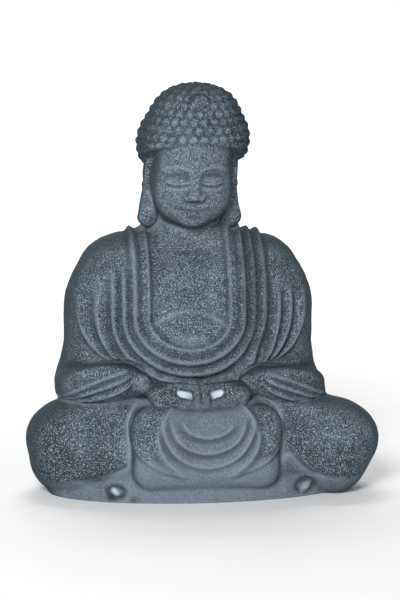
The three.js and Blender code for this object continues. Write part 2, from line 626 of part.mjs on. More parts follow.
  let left = alive.length;
  while (left > target && heap.length > 0) {
    const { u, v, madeU, madeV } = take();
    if (stamp[u] !== madeU || stamp[v] !== madeV) continue;
    const ringU = neighbours(u), ringV = neighbours(v);
    const shared = [...ringU].filter((w) => ringV.has(w));
    if (shared.length !== 2) continue;
    const { place } = best(u, v);
    if (spoils(u, v, place) || spoils(v, u, place)) continue;
    for (const f of around[v]) {
      const corners = faces.subarray(f * 3, f * 3 + 3);
      if (corners.includes(u)) {
        alive[f] = 0;
        left--;
      } else {
        corners[corners.indexOf(v)] = u;
        around[u].push(f);
      }
    }
    for (const w of [u, ...shared]) around[w] = around[w].filter((f) => alive[f]);
    around[v] = [];
    stamp[v] = -1;
    stamp[u]++;
    for (let k = 0; k < 10; k++) quadrics[u * 10 + k] += quadrics[v * 10 + k];
    positions.set(place.toArray(), u * 3);
    for (const w of neighbours(u)) offer(u, w);
  }

  const thinned = new THREE.BufferGeometry();
  thinned.setAttribute("position", new THREE.BufferAttribute(Float32Array.from(positions), 3));
  thinned.setIndex([...faces].filter((v, i) => alive[(i / 3) | 0]));
  return mergeVertices(thinned);
}

// A closed solid from a geometry, and back
function toSolid(wasm, geometry) {
  const bare = geometry.clone();
  bare.deleteAttribute("normal");
  bare.deleteAttribute("uv");
  const merged = mergeVertices(bare);
  const vertProperties = Float32Array.from(merged.attributes.position.array);
  const triVerts = Uint32Array.from(merged.index.array);
  return new wasm.Manifold(new wasm.Mesh({ numProp: 3, vertProperties, triVerts }));
}

function toGeometry(solid) {
  const { vertProperties, triVerts } = solid.getMesh();
  const geometry = new THREE.BufferGeometry();
  geometry.setAttribute("position", new THREE.BufferAttribute(vertProperties, 3));
  geometry.setIndex(new THREE.BufferAttribute(triVerts, 1));
  return geometry;
}

// The figure's carved surface
function surface() {
  const [xs, ys, zs] = [GRID.x, GRID.y, GRID.z].map(gridLines);
  const mesh = polygonise((x, y, z) => max(figure(x, y, z), FIELD_END - z), xs, ys, zs);
  relax(mesh);
  settle(mesh, () => 0);
  settle(mesh, carving);
  const geometry = new THREE.BufferGeometry();
  geometry.setAttribute("position", new THREE.BufferAttribute(Float32Array.from(mesh.positions), 3));
  geometry.setIndex(new THREE.BufferAttribute(mesh.faces, 1));
  return geometry;
}

// Cuts off what is below a height. Only the largest body is kept.
const CUTTER = { side: 400, deep: 100 };

function cutBelow(wasm, geometry, height) {
  const { side, deep } = CUTTER;
  const away = new THREE.BoxGeometry(side, side, deep).translate(0, 0, height - deep / 2);
  const bodies = toSolid(wasm, geometry).subtract(toSolid(wasm, away)).decompose();
  return toGeometry(bodies.reduce((a, b) => (a.volume() > b.volume() ? a : b)));
}

// Flat underneath, standing on the origin and at its real size
async function statue() {
  const wasm = await Module();
  wasm.setup();
  const whole = cutBelow(wasm, surface(), BELOW_GROUND);
  const geometry = cutBelow(wasm, thin(whole, TRIANGLES), 0);
  geometry.computeBoundingBox();
  const middle = geometry.boundingBox.getCenter(new THREE.Vector3());
  const drawn = geometry.boundingBox.getSize(new THREE.Vector3());
  geometry.translate(-middle.x, -middle.y, 0);
  geometry.scale(KNEE_SPAN / drawn.x, DEPTH / drawn.y, HEIGHT / drawn.z);
  geometry.computeVertexNormals();
  return geometry;
}

const STONE = new THREE.MeshStandardMaterial({ color: 0x616e7b, roughness: 0.85, metalness: 0 });

const buddha = new THREE.Mesh(await statue(), STONE);
buddha.name = "seated_buddha";

const group = new THREE.Group();
group.add(buddha);
export default group;
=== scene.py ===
# A seated Buddha in meditation, cast in one piece of dark stone mix.
# The figure is a field of smooth forms, negative inside and positive outside, worked out in millimetres
# with +Z up and the face towards -Y. The field becomes a fine closed mesh, the robe's folds, the curls
# and the face are carved along its surface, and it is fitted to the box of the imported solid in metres.
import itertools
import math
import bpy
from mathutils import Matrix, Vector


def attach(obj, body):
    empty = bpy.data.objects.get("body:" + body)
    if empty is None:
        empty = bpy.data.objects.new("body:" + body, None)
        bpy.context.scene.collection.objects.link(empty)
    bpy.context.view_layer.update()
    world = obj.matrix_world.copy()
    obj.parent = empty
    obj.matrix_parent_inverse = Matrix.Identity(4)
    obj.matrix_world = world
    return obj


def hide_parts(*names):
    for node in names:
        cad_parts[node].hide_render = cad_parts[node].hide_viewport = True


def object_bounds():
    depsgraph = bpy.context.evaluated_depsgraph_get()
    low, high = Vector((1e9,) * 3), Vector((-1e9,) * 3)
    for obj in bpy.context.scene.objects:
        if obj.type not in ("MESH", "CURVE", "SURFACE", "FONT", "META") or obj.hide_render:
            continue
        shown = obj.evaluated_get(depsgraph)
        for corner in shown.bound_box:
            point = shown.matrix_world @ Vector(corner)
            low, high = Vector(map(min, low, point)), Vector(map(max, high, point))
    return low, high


bl_info = {
    "name": "Seated Buddha",
    "version": (1, 0, 0),
    "blender": (4, 5, 0),
    "location": "3D View > Sidebar > Buddha",
    "description": "A seated Buddha of dark cast stone, and a pale studio to see it in",
    "category": "Add Mesh",
}

import bpy
import numpy as np
from bpy.props import FloatProperty, FloatVectorProperty, IntProperty, PointerProperty
from mathutils import Vector

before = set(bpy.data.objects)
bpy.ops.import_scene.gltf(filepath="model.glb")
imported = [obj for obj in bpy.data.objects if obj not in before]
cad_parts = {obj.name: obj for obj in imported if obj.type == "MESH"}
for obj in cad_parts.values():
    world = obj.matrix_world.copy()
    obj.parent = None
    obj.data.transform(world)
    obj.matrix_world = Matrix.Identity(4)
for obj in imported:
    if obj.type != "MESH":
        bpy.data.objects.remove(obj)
CAD_LOW, CAD_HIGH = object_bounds()

MM = 0.001
NODE = "seated_buddha"

# The chest stands this far to the figure's right of the lap, and the crown comes back over it
SWAY = 5
SWAY_HEIGHTS = (30, 90, 215, 304)

# Trunk: a rounded slab whose shoulders are quarter circles, leaning forward as it rises
SHOULDER_SPAN = 190
SHOULDER_ROUND = 55
SHOULDER_TOP = 189
TRUNK_HALF_DEPTH = 55
TRUNK_LEAN = {"low": 92, "high": 190, "y_low": 15, "y_high": 7}
SHOULDER_SLOPE = {"start": (14, 8, 167), "start_r": 34, "end": (44, 8, 149), "end_r": 42}
BELLY = {"at": (0, 0, 96), "r": (60, 54, 52)}
NECK = {"start": (0, 12, 172), "start_r": 32, "end": (0, 4, 212), "end_r": 23.5}

# Arms lie inside the sleeves, and the cuffs rest on the thighs, rising towards the wrists.
# The figure's left arm lies a little lower.
ARM_DROP = 4
ELBOW = {"at": (75, 4, 84), "r": 21}
WRIST = {"at": (40, -55, 85), "r": 8}
CUFF = {"at": (69, -14, 78), "r": (33.5, 46, 12.5), "rim": 9.5}
CUFF_MOUTH = {"at": (58, -44, 79), "r": (16, 20, 10.5), "rim": 9}
CUFF_RISE = 0.2
CUFF_SHIFT = 1.2

# Legs crossed under the robe. The knee on the figure's left reaches further out and lies lower.
LAP_TOP = 110
KNEE_SHIFT = 2
KNEE_DROP = 2
KNEE_FORWARD = 12
KNEE = {"at": (96, -26, 41), "r": (36, 38, 29.5)}
KNEE_FOOT = {"at": (93, -24, 24), "r": (33, 40, 27.5)}
KNEE_FOOT_SHIFT = -3
HIP = {"at": (48, 30, 42), "r": 34}
KNEE_END = {"at": (88, -31, 38), "r": 28}
SHIN_END = {"at": (20, -53, 34), "r": 28}
THIGH_TOP = {"at": (64, -26, 62), "r": (36, 36, 14)}
SEAT = {"at": (0, 26, 34), "r": (92, 52, 44)}
LAP_FILL = {"at": (0, -46, 60), "r": (54, 30, 19)}
APRON = {"at": (-4, -30, 4), "r": (110, 50.5, 30)}
TONGUE = {"at": (0, -54, 39), "half": (54, 31, 31), "round": 15}

# Hands folded in the lap, each thumb and first finger closing a ring. Every limb is (start, r, end, r).
PALM = {"at": (25.5, -62, 78), "r": (13, 14, 8.8)}
FINGERS = ((27, -69, 74), 5.5, (0, -78, 70.8), 3)
FIRST_FINGER = ((3.3, -78.5, 72), 3.4, (3.3, -77, 82), 3)
THUMB = ((28, -62, 81.5), 4.6, (15, -70, 84.4), 3)
THUMB_TIP = ((15, -70, 84.4), 3, (3.3, -76, 84.2), 2.8)
RING_BACK = {"at": (11, -67, 79), "r": (10, 5, 7)}

# Head, set forward and bowed. Its forms are placed in its own frame.
HEAD_AT = (0, -6, 244)
HEAD_TILT = math.radians(8)
HEAD_FROM = 185
HAIR_CAP = {"at": (0, 6, 17), "r": (41, 43, 35)}
HAIR_DOME = {"at": (0, 7, 37.5), "r": (32, 33, 21)}
JEWEL = {"at": (0, -19, 47), "r": (7.5, 6, 7.5)}

# Hair in curls, in rows that lie over a ball of this radius
HAIR_R = 43


# Forms. Each takes the arrays x, y and z and gives the signed distance, near enough.
def length(*parts):
    return np.sqrt(sum(part * part for part in parts))


def clamp01(t):
    return np.minimum(np.maximum(t, 0), 1)


def smoothstep(v, low, high):
    t = clamp01((v - low) / (high - low))
    return t * t * (3 - 2 * t)


def bell(t):
    return np.exp(-t * t)


def ellipsoid(x, y, z, at, r):
    ux, uy, uz = (x - at[0]) / r[0], (y - at[1]) / r[1], (z - at[2]) / r[2]
    near = length(ux, uy, uz)
    return near * (near - 1) / np.maximum(length(ux / r[0], uy / r[1], uz / r[2]), 1e-6)


def pad(x, y, z, at, half, rounding):
    ux, uy, uz = (np.abs(v - at[i]) - half[i] + rounding for i, v in enumerate((x, y, z)))
    outside = length(np.maximum(ux, 0), np.maximum(uy, 0), np.maximum(uz, 0))
    return outside + np.minimum(np.maximum(np.maximum(ux, uy), uz), 0) - rounding


def cushion(x, y, z, at, r, rim):
    ux, uy = (x - at[0]) / r[0], (y - at[1]) / r[1]
    near = length(ux, uy)
    beside = near * (near - 1) / np.maximum(length(ux / r[0], uy / r[1]), 1e-6) + rim
    above = np.abs(z - at[2]) - r[2] + rim
    outside = length(np.maximum(beside, 0), np.maximum(above, 0))
    return outside + np.minimum(np.maximum(beside, above), 0) - rim


def limb(x, y, z, start, start_r, end, end_r):
    run = [e - s for s, e in zip(start, end)]
    off = [v - s for v, s in zip((x, y, z), start)]
    along = clamp01(sum(o * r for o, r in zip(off, run)) / sum(r * r for r in run))
    return length(*(o - along * r for o, r in zip(off, run))) - (start_r + (end_r - start_r) * along)


def join(a, b, width):
    h = np.maximum(width - np.abs(a - b), 0) / width
    return np.minimum(a, b) - h * h * width / 4


def carve_out(a, b, width):
    return -join(-a, b, width)


def from_middle(x, z):
    low, high, neck_z, crown_z = SWAY_HEIGHTS
    return x + SWAY * (smoothstep(z, low, high) - smoothstep(z, neck_z, crown_z))


def trunk(x, y, z):
    lean = smoothstep(z, TRUNK_LEAN["low"], TRUNK_LEAN["high"])
    axis_y = TRUNK_LEAN["y_low"] + (TRUNK_LEAN["y_high"] - TRUNK_LEAN["y_low"]) * lean
    slab = length(
        np.maximum(np.abs(x) - (SHOULDER_SPAN / 2 - SHOULDER_ROUND), 0),
        np.maximum(np.abs(y - axis_y) - (TRUNK_HALF_DEPTH - SHOULDER_ROUND), 0),
        np.maximum(z - (SHOULDER_TOP - SHOULDER_ROUND), 0),
    ) - SHOULDER_ROUND
    slope = limb(np.abs(x), y, z, *SHOULDER_SLOPE.values())
    return join(join(slab, slope, 6), ellipsoid(x, y, z, **BELLY), 16)


def sleeves(x, y, z):
    ax = np.abs(x + CUFF_SHIFT)
    z = z + ARM_DROP * smoothstep(x, 20, 60)
    arm = limb(ax, y, z, ELBOW["at"], ELBOW["r"], WRIST["at"], WRIST["r"])
    z = z + CUFF_RISE * np.minimum(y - CUFF["at"][1], 0)
    return join(arm, join(cushion(ax, y, z, **CUFF), cushion(ax, y, z, **CUFF_MOUTH), 10), 6)


def lap(x, y, z):
    ax = np.abs(x)
    side = np.abs(x - KNEE_SHIFT * smoothstep(ax, 40, 90))
    back = y + KNEE_FORWARD * smoothstep(x, 50, 110)
    z = z + KNEE_DROP * smoothstep(x, 60, 110)
    thigh = limb(side, back, z, HIP["at"], HIP["r"], KNEE_END["at"], KNEE_END["r"])
    shin = limb(side, back, z, KNEE_END["at"], KNEE_END["r"], SHIN_END["at"], SHIN_END["r"])
    foot = ellipsoid(np.abs(x - KNEE_SHIFT - KNEE_FOOT_SHIFT), back, z, **KNEE_FOOT)
    legs = join(join(thigh, shin, 10), join(ellipsoid(side, back, z, **KNEE), foot, 6), 12)
    seated = join(legs, ellipsoid(x, y, z, **SEAT), 24)
    filled = join(seated, join(ellipsoid(x, y, z, **LAP_FILL), ellipsoid(ax, y, z, **THIGH_TOP), 6), 6)
    based = join(filled, ellipsoid(x, y, z, **APRON), 3)
    return join(based, pad(x, y, z, *TONGUE.values()), 2)


def hands(ax, y, z):
    d = ellipsoid(ax, y, z, **PALM)
    d = join(d, limb(ax, y, z, *FINGERS), 3)
    d = join(d, limb(ax, y, z, *THUMB), 3)
    d = join(d, limb(ax, y, z, *THUMB_TIP), 1)
    d = join(d, limb(ax, y, z, *FIRST_FINGER), 1)
    return join(d, ellipsoid(ax, y, z, **RING_BACK), 1)


def in_head(x, y, z):
    ry, rz = y - HEAD_AT[1], z - HEAD_AT[2]
    c, s = math.cos(HEAD_TILT), math.sin(HEAD_TILT)
    return x - HEAD_AT[0], ry * c + rz * s, rz * c - ry * s


def above_hairline(y, z):
    back = np.maximum(y, 0)
    return z - 4.5 + 0.42 * y + 0.012 * back * back


def hair(x, y, z):
    cap = join(ellipsoid(x, y, z, **HAIR_CAP), ellipsoid(x, y, z, **HAIR_DOME), 4)
    cut = carve_out(cap, above_hairline(y, z), 3)
    return join(cut, ellipsoid(x, y, z, **JEWEL), 2)


def head(x, y, z):
    ax = np.abs(x)
    d = ellipsoid(x, y, z, (0, -3, -7), (31, 33, 37))
    d = join(d, ellipsoid(ax, y, z, (13, -19, -19), (15.5, 14, 16)), 9)
    d = join(d, ellipsoid(ax, y, z, (8, -14, -28), (17, 16, 14)), 8)
    d = join(d, ellipsoid(x, y, z, (0, -17.5, -27), (14, 17, 15)), 8)
    d = join(d, ellipsoid(x, y, z, (0, -24.5, -36), (9.5, 8.5, 7.5)), 7)
    d = join(d, ellipsoid(x, y, z, (0, -12, 14), (28, 24, 22)), 8)
    # eye sockets, then the eyes under their lids
    d = carve_out(d, ellipsoid(ax, y, z, (13.2, -39, -5), (10.5, 6, 5.5)), 5)
    d = join(d, ellipsoid(ax, y, z, (13, -26.3, -7.4), (9, 8.4, 5)), 1.5)
    # nose
    d = join(d, limb(x, y, z, (0, -33, -1), 2.6, (0, -38, -18), 3.9), 4)
    d = join(d, ellipsoid(ax, y, z, (4.6, -35.2, -19.6), (3.7, 4.2, 3.1)), 2)
    # lips
    d = join(d, limb(ax, y, z, (0, -34.4, -27.6), 1.9, (8.6, -31.6, -27.8), 0.8), 1.5)
    d = join(d, limb(ax, y, z, (0, -33.6, -31.2), 2.3, (6, -31.9, -30.4), 1), 1.5)
    # ears with long heavy lobes, solid to the jaw behind them
    ear = ellipsoid(ax, y, z, (31.5, 4, -4), (5, 10.5, 15))
    ear = carve_out(ear, ellipsoid(ax, y, z, (37, 2.5, -2), (3, 5.5, 8.5)), 2)
    ear = join(ear, limb(ax, y, z, (31, 1, -15), 4.2, (32, -3, -39.5), 7.8), 4)
    ear = join(ear, limb(ax, y, z, (22, 8, -18), 9, (22, 6, -38), 9), 3)
    d = join(d, ear, 2)
    return join(d, hair(x, y, z), 1.5)


def figure(wx, y, z):
    x = from_middle(wx, z)
    ax = np.abs(x)
    d = trunk(x, y, z)
    d = join(d, sleeves(x, y, z), 3 + 12 * smoothstep(ax, 60, 88))
    low = z < LAP_TOP
    if low.any():
        whole_lap = join(d[low], lap(wx[low], y[low], z[low]), 3)
        d[low] = join(whole_lap, hands(ax[low], y[low], z[low]), 2)
    d = join(d, limb(x, y, z, *NECK.values()), 8)
    high = z > HEAD_FROM
    if high.any():
        d[high] = join(d[high], head(*in_head(x[high], y[high], z[high])), 2)
    return np.maximum(d, -z)


# Carving. Each function gives how far the surface stands out, in millimetres.
# The robe's edge and the rounds below it, as half widths and how far each falls below the middle height
CHEST_AT = (-4, 132)
CHEST_NAPE = 10
CHEST_OPEN = (28.7, 22.5)
CHEST_ROUNDS = ((40.3, 33), (47.8, 41), (55.2, 48))
CHEST_STRAIGHT = {"x": 50.5, "foot_x": 41, "low": 94, "high": 132}
BUST_LINES = ((136, 70, 1.3), (119, 60, 1.2))
ARM = {"x": 45, "z": 138, "drop": 43, "right_arm": (25, 37), "left_arm": (16.5, 25, 36)}
CUFF_SLING = {"wrist": (45, 93), "hem_end": (106, 69), "drops": (-5.5, 0.5, 7)}
TONGUE_TOP = 60
TONGUE_LOBES = {"at": (0, 52), "r": (56, 34)}
TONGUE_PANEL = {"at": (0, 48), "r": (38, 30)}
TONGUE_FOLDS = ((17, 11), (26, 22.5), (33, 33))
BACK_ROUNDS = (34, 54, 74)
KNEE_CRESCENTS = {"at": (-58, 36), "rounds": (25, 33)}
BASE_LINE = {"x": 6, "z": 14, "rise": 20, "from_x": 57, "fall": 12}
NECK_BASE = {"z": 179, "rise": 5, "half": 29}
PEBBLE = {"at": (70, 8), "r": (6.4, 4.6), "shift": 4}


def fold(distance, width, height):
    return height * bell(distance / width)


def pleat(distance, width, height):
    """A rounded ridge of cloth with a shallow valley on each side."""
    beside = bell((distance - 2.1 * width) / width) + bell((distance + 2.1 * width) / width)
    return height * (bell(distance / width) - 0.4 * beside)


def oval(u, v, at, r):
    """Distance, near enough, outside an oval in the plane of u and v."""
    return (length((u - at[0]) / r[0], (v - at[1]) / r[1]) - 1) * min(r)


def u_line(x, y, z, half_width, fall):
    """Distance outside a U that hangs from the nape: straight sides, and a round below the middle height."""
    below = np.maximum(CHEST_AT[1] - z, 0) / fall
    q = length((x - CHEST_AT[0]) / half_width, below, np.maximum(y - CHEST_NAPE, 0) / half_width)
    return (q - 1) * (half_width - (half_width - fall) * clamp01(below))


def chest_folds(x, y, z):
    rounds = 0
    for index, (half_width, fall) in enumerate(CHEST_ROUNDS):
        fades = (x < 0) & (index > 0)
        straight = (x > 0) & (index == 2)
        rounds = rounds + pleat(u_line(x, y, z, half_width, fall), 2.1, 2.7) * np.where(
            fades, 1 - smoothstep(z, 152, 172), np.where(straight, 0, 1))
    run = CHEST_STRAIGHT
    line = run["foot_x"] + (run["x"] - run["foot_x"]) * smoothstep(z, run["low"], run["high"])
    rounds = rounds + pleat(x - line, 2.4, 3) * smoothstep(z, 92, 100) * (x > 0)
    opening = u_line(x, y, z, *CHEST_OPEN)
    inside = 1 - smoothstep(opening, -6, -2)
    cx = x - CHEST_AT[0]
    lines = sum(fold(z - (top - cx * cx / spread), 1.8, height) for top, spread, height in BUST_LINES)
    robe = 2.2 * smoothstep(opening, -0.8, 0.8)
    hem = fold(opening - 1.6, 1.4, 0.9)
    front = 1 - smoothstep(y, CHEST_NAPE - 5, CHEST_NAPE + 20)
    base = NECK_BASE
    soft_line = fold(z - base["z"] - base["rise"] * (cx / base["half"]) ** 2, 1.6, -0.8)
    return robe + hem + (rounds + (lines + soft_line) * inside) * front


def arm_folds(x, z):
    foot = ARM["z"] - ARM["drop"]
    height = np.clip(1 - ((ARM["z"] - z) / ARM["drop"]) ** 2, 0.06, 1)
    w = (np.abs(x) - ARM["x"]) / np.sqrt(np.where(z < ARM["z"], height, 1))
    right = sum(pleat(w - width, 2.8, 3) for width in ARM["right_arm"])
    left = sum(pleat(w - width, 2.4, 3) for width in ARM["left_arm"])
    shown = smoothstep(z, foot, foot + 8) * (1 - smoothstep(z, ARM["z"] + 2, ARM["z"] + 22))
    return np.where(x > 0, left, right) * shown


def cuff_folds(x, z):
    """Folds that hang from the wrist to the outer end of the hem."""
    (from_x, from_z), (to_x, to_z) = CUFF_SLING["wrist"], CUFF_SLING["hem_end"]
    ax, z = np.abs(x), z + ARM_DROP * smoothstep(x, 20, 60)
    run_x, run_z = to_x - from_x, to_z - from_z
    run = math.hypot(run_x, run_z)
    along = ((ax - from_x) * run_x + (z - from_z) * run_z) / run ** 2
    below = ((ax - from_x) * run_z - (z - from_z) * run_x) / run
    inside = clamp01(along)
    sag = 2.6 * np.sqrt(inside) * (1 - inside)
    h = np.max([pleat(below - drop * sag, 1.7, 2.4) for drop in CUFF_SLING["drops"]], axis=0)
    return h * smoothstep(along, 0.03, 0.15) * (1 - smoothstep(along, 0.85, 0.98))


def tongue_folds(x, z):
    lobes = oval(x, z, **TONGUE_LOBES)
    panel = oval(x, z, **TONGUE_PANEL)
    side = smoothstep(np.abs(x), 10, 24)
    h = 2.2 * (1 - smoothstep(lobes, -0.8, 0.8)) * side
    edge = fold(panel + 1.5, 1.6, 1.4 + 0.9 * smoothstep(x, 0, 20)) + fold(panel - 3, 2.6, -1.5)
    h = h + edge * smoothstep(np.abs(x), 14, 27)
    for half_width, drop in TONGUE_FOLDS:
        fall = np.minimum(z - TONGUE_TOP, 0) / drop
        below = (length(x / half_width, fall) - 1) * drop
        lip = 2.1 * np.where(below < 0, np.exp(below / 4), bell(below / 1.3))
        h = h + (lip - fold(below - 2.8, 1.6, 1.1)) * (1 - smoothstep(z, TONGUE_TOP - 6, TONGUE_TOP + 3))
    return h


def back_folds(x, z):
    q = length(x - 6, np.maximum(150 - z, 0) / 0.9)
    h = sum(pleat(q - half_width, 3.4, 1.8) for half_width in BACK_ROUNDS)
    return h * (1 - smoothstep(z, 165, 190)) * smoothstep(z, 62, 80)


def knee_folds(x, z):
    at = KNEE_CRESCENTS["at"]
    q = length(x - at[0], z - at[1])
    h = sum(fold(q - r, 2, 0.7) for r in KNEE_CRESCENTS["rounds"])
    return h * smoothstep(at[0] - x, 4, 18) * smoothstep(z, 22, 30)


def above_base(x, z):
    """Height above the line where the knees meet the base."""
    line = BASE_LINE
    out = np.maximum(np.abs(x - line["x"]) - line["from_x"], 0)
    return z - line["z"] - line["rise"] * np.exp(-out / line["fall"])


def pebbles(x, z):
    """A shallow hollow on each side of the base with a pale pebble in it."""
    out = oval(np.abs(x - PEBBLE["shift"]), z, PEBBLE["at"], PEBBLE["r"])
    return fold(out, 1.6, -2) + 0.6 * (1 - smoothstep(out, -2.5, 0))


def curls(x, y, z, pitch, row_height, height):
    at = HAIR_CAP["at"]
    reach = length(x, y - at[1], z - at[2])
    polar = np.arccos((z - at[2]) / reach)
    around = np.arctan2(x, at[1] - y)
    row_here = polar * HAIR_R / row_height
    h = np.zeros_like(x)
    for step in (-1, 0, 1):
        row = np.maximum(np.round(row_here) + step, 0)
        ring = HAIR_R * np.sin(row * row_height / HAIR_R)
        count = np.maximum(1, np.round(2 * np.pi * ring / pitch))
        turn = around / (2 * np.pi) * count - (row % 2) / 2
        aside = (turn - np.round(turn)) / count * 2 * np.pi * HAIR_R * np.sin(polar)
        r = length(aside, (row - row_here) * row_height) / (pitch / 2)
        dome = height * (1 - r ** 3 - 0.12 * bell((r - 0.5) / 0.16))
        h = np.maximum(h, dome)
    return h


def face_lines(x, y, z):
    ax = np.abs(x)
    eye = (ax - 13) / 8.2
    inside_eye = 1 - smoothstep(np.abs(eye), 0.8, 1.12)
    brow = -1.5 + 4.4 * (1 - ((ax - 13.5) / 12.5) ** 2)
    h = fold(z - brow, 1.3, 1) * smoothstep(ax, 1.5, 5) * (1 - smoothstep(ax, 21, 27))
    lid = -9.4 - 1.3 * (1 - eye ** 2)
    h += (fold(z - lid + 0.7, 0.8, -1.1) + fold(z - lid - 0.8, 0.9, 0.6)) * inside_eye
    h += fold(z - lid + 2.8, 1, 0.5) * inside_eye
    h += fold(z + 4.2 - 1.5 * (1 - eye ** 2), 0.9, -0.6) * inside_eye
    mouth = -29.6 + 1 * (ax / 9) ** 2
    h += fold(z - mouth, 0.8, -1.2) * (1 - smoothstep(ax, 8, 10.5))
    h += bell(length(ax - 10.2, z + 28.2) / 1.6) * -0.8
    h += fold(z + 34.6, 1.8, -0.5) * (1 - smoothstep(ax, 3, 8))
    h += fold(x, 1.3, -0.5) * smoothstep(z, -26.6, -25.4) * (1 - smoothstep(z, -24, -22.6))
    h += bell(length(ax - 3, z + 22.6) / 1.2) * -0.8
    h += 1.1 * bell(length(x, z - 6) / 1.8)
    return h * smoothstep(-y, 14, 20)


def ear_lines(x, y, z):
    rim = oval(y, z, (4, -4), (10.5, 15))
    lobe = bell((y + 2.5) / 1.3) * smoothstep(z, -44, -38) * (1 - smoothstep(z, -26, -20))
    outer = smoothstep(np.abs(x), 29, 33)
    return (fold(rim + 1.8, 1.1, 0.7) + fold(rim + 4.4, 1.2, -0.7) - 0.9 * lobe) * outer


def value_noise(x, y, z, size, seed):
    """Smooth noise between -1 and 1 that changes over about this size."""
    side = 32
    table = np.random.default_rng(seed).uniform(-1, 1, (side, side, side))
    cells = [v / size for v in (x, y, z)]
    base = [np.floor(c).astype(np.int64) for c in cells]
    part = [smoothstep(c - b, 0, 1) for c, b in zip(cells, base)]
    total = 0
    for corner in itertools.product((0, 1), repeat=3):
        weight = 1
        for t, c in zip(part, corner):
            weight = weight * (t if c else 1 - t)
        i, j, k = ((b + c) % side for b, c in zip(base, corner))
        total = total + weight * table[i, j, k]
    return total


def carving(wx, y, z, normal, settings):
    x = from_middle(wx, z)
    ax = np.abs(x)
    h = np.zeros_like(x)
    depth = settings.fold_depth

    def touches(distance, reach=1):
        return 1 - smoothstep(np.abs(distance), reach, reach + 3)

    top = z > 205
    hx, hy, hz = in_head(x[top], y[top], z[top])
    bare_hair = np.minimum(ellipsoid(hx, hy, hz, **JEWEL), 3)
    shown = touches(hair(hx, hy, hz)) * smoothstep(above_hairline(hy, hz), 0, 3) * smoothstep(bare_hair, 0, 1.5)
    curl = curls(hx, hy, hz, settings.curl_pitch / MM, settings.curl_row / MM, settings.curl_height / MM)
    h[top] = shown * curl + (1 - shown) * (face_lines(hx, hy, hz) + ear_lines(hx, hy, hz))

    body = ~top
    bx, by, bz, bn = x[body], y[body], z[body], normal[body]
    front = smoothstep(-bn[:, 1], 0, 0.4)
    slab = trunk(bx, by, bz)
    bare = join(slab, limb(bx, by, bz, *NECK.values()), 8)
    part = touches(bare) * np.maximum(front, smoothstep(bz, 165, 180)) * chest_folds(bx, by, bz)
    part += touches(slab, 2) * (1 - smoothstep(by, 10, 30)) * arm_folds(bx, bz)
    part += touches(slab, 2) * smoothstep(bn[:, 1], 0, 0.5) * back_folds(bx, bz)
    low = bz < LAP_TOP
    lx, ly, lz = wx[body][low], by[low], bz[low]
    cuffs = touches(sleeves(bx[low], ly, lz)) * front[low] * cuff_folds(bx[low], lz)
    apron = pad(lx, ly, lz, *TONGUE.values())
    part[low] += cuffs + touches(apron) * front[low] * tongue_folds(lx, lz)
    beside = smoothstep(apron, 1, 4) * front[low]
    out = np.abs(lx)
    crease = fold(above_base(lx, lz), 2, -1.4) * smoothstep(out, 52, 60) * (1 - smoothstep(out, 92, 104))
    part[low] += beside * (pebbles(lx, lz) + knee_folds(lx, lz) + crease)
    h[body] = part * depth
    return h


# The fine mesh. Cell corners are numbered with bit 0 for x, bit 1 for y and bit 2 for z.
CORNERS = tuple((n & 1, n >> 1 & 1, n >> 2 & 1) for n in range(8))
CELL_EDGES = tuple((a, b) for a, b in itertools.combinations(range(8), 2) if (a ^ b) in (1, 2, 4))
COARSE = 4
CHUNK = 150000

# Times that the mesh is evened out and laid on the field's surface, and that the carving is softened
SETTLE_PASSES = 4
SOFTEN_PASSES = 1

# A ridge stands out from the surface this far around it, by more than the body's own roundness does.
# The foot keeps its plain outline.
RELIEF_REACH = 5
ROUNDNESS = 0.15
FOOT_BAND = 0.3

# How much the fine lines of the face count as ridges and creases besides their relief; their creases get painted
# shade and their ridges a pale wear
FACE_LINE_SHARE = 1.3


def grid_lines(low, high, coarse, fine, fine_from, fine_to):
    lines = [low]
    while lines[-1] < high or len(lines) % COARSE != 1:
        lines.append(lines[-1] + (fine if fine_from <= lines[-1] < fine_to else coarse))
    return np.array(lines)


def sample(xs, ys, zs):
    """The figure's field on a grid. It is only worked out near the surface, and elsewhere keeps its sign."""
    def at(i, j, k):
        out = np.empty(len(i))
        for start in range(0, len(i), CHUNK):
            part = slice(start, start + CHUNK)
            out[part] = figure(xs[i[part]], ys[j[part]], zs[k[part]])
        return out

    shape = (len(xs), len(ys), len(zs))
    index = np.indices([(n - 1) // COARSE + 1 for n in shape]).reshape(3, -1) * COARSE
    order = np.argsort(index[2], kind="stable")
    rough = np.empty(index.shape[1])
    rough[order] = at(*index[:, order])
    rough = rough.reshape([(n - 1) // COARSE + 1 for n in shape])
    blocks = np.zeros([n - 1 for n in rough.shape], bool)
    widest = COARSE * max(np.diff(lines).max() for lines in (xs, ys, zs))
    corners = [rough[a:a + blocks.shape[0], b:b + blocks.shape[1], c:c + blocks.shape[2]] for a, b, c in CORNERS]
    blocks |= np.min(np.abs(corners), axis=0) < widest
    blocks |= (np.min(corners, axis=0) < 0) & (np.max(corners, axis=0) > 0)
    near = np.zeros(shape, bool)
    values = np.empty(shape, np.float32)
    for axis in range(3):
        blocks = np.repeat(blocks, COARSE, axis)
        rough = np.repeat(rough, COARSE, axis)
    values[...] = rough[:shape[0], :shape[1], :shape[2]]
    for a, b, c in CORNERS:
        near[a:a + blocks.shape[0], b:b + blocks.shape[1], c:c + blocks.shape[2]] |= blocks
    i, j, k = np.nonzero(near)
    order = np.argsort(k, kind="stable")
    i, j, k = i[order], j[order], k[order]
    values[i, j, k] = at(i, j, k)
    values[values == 0] = 1e-6
    return values


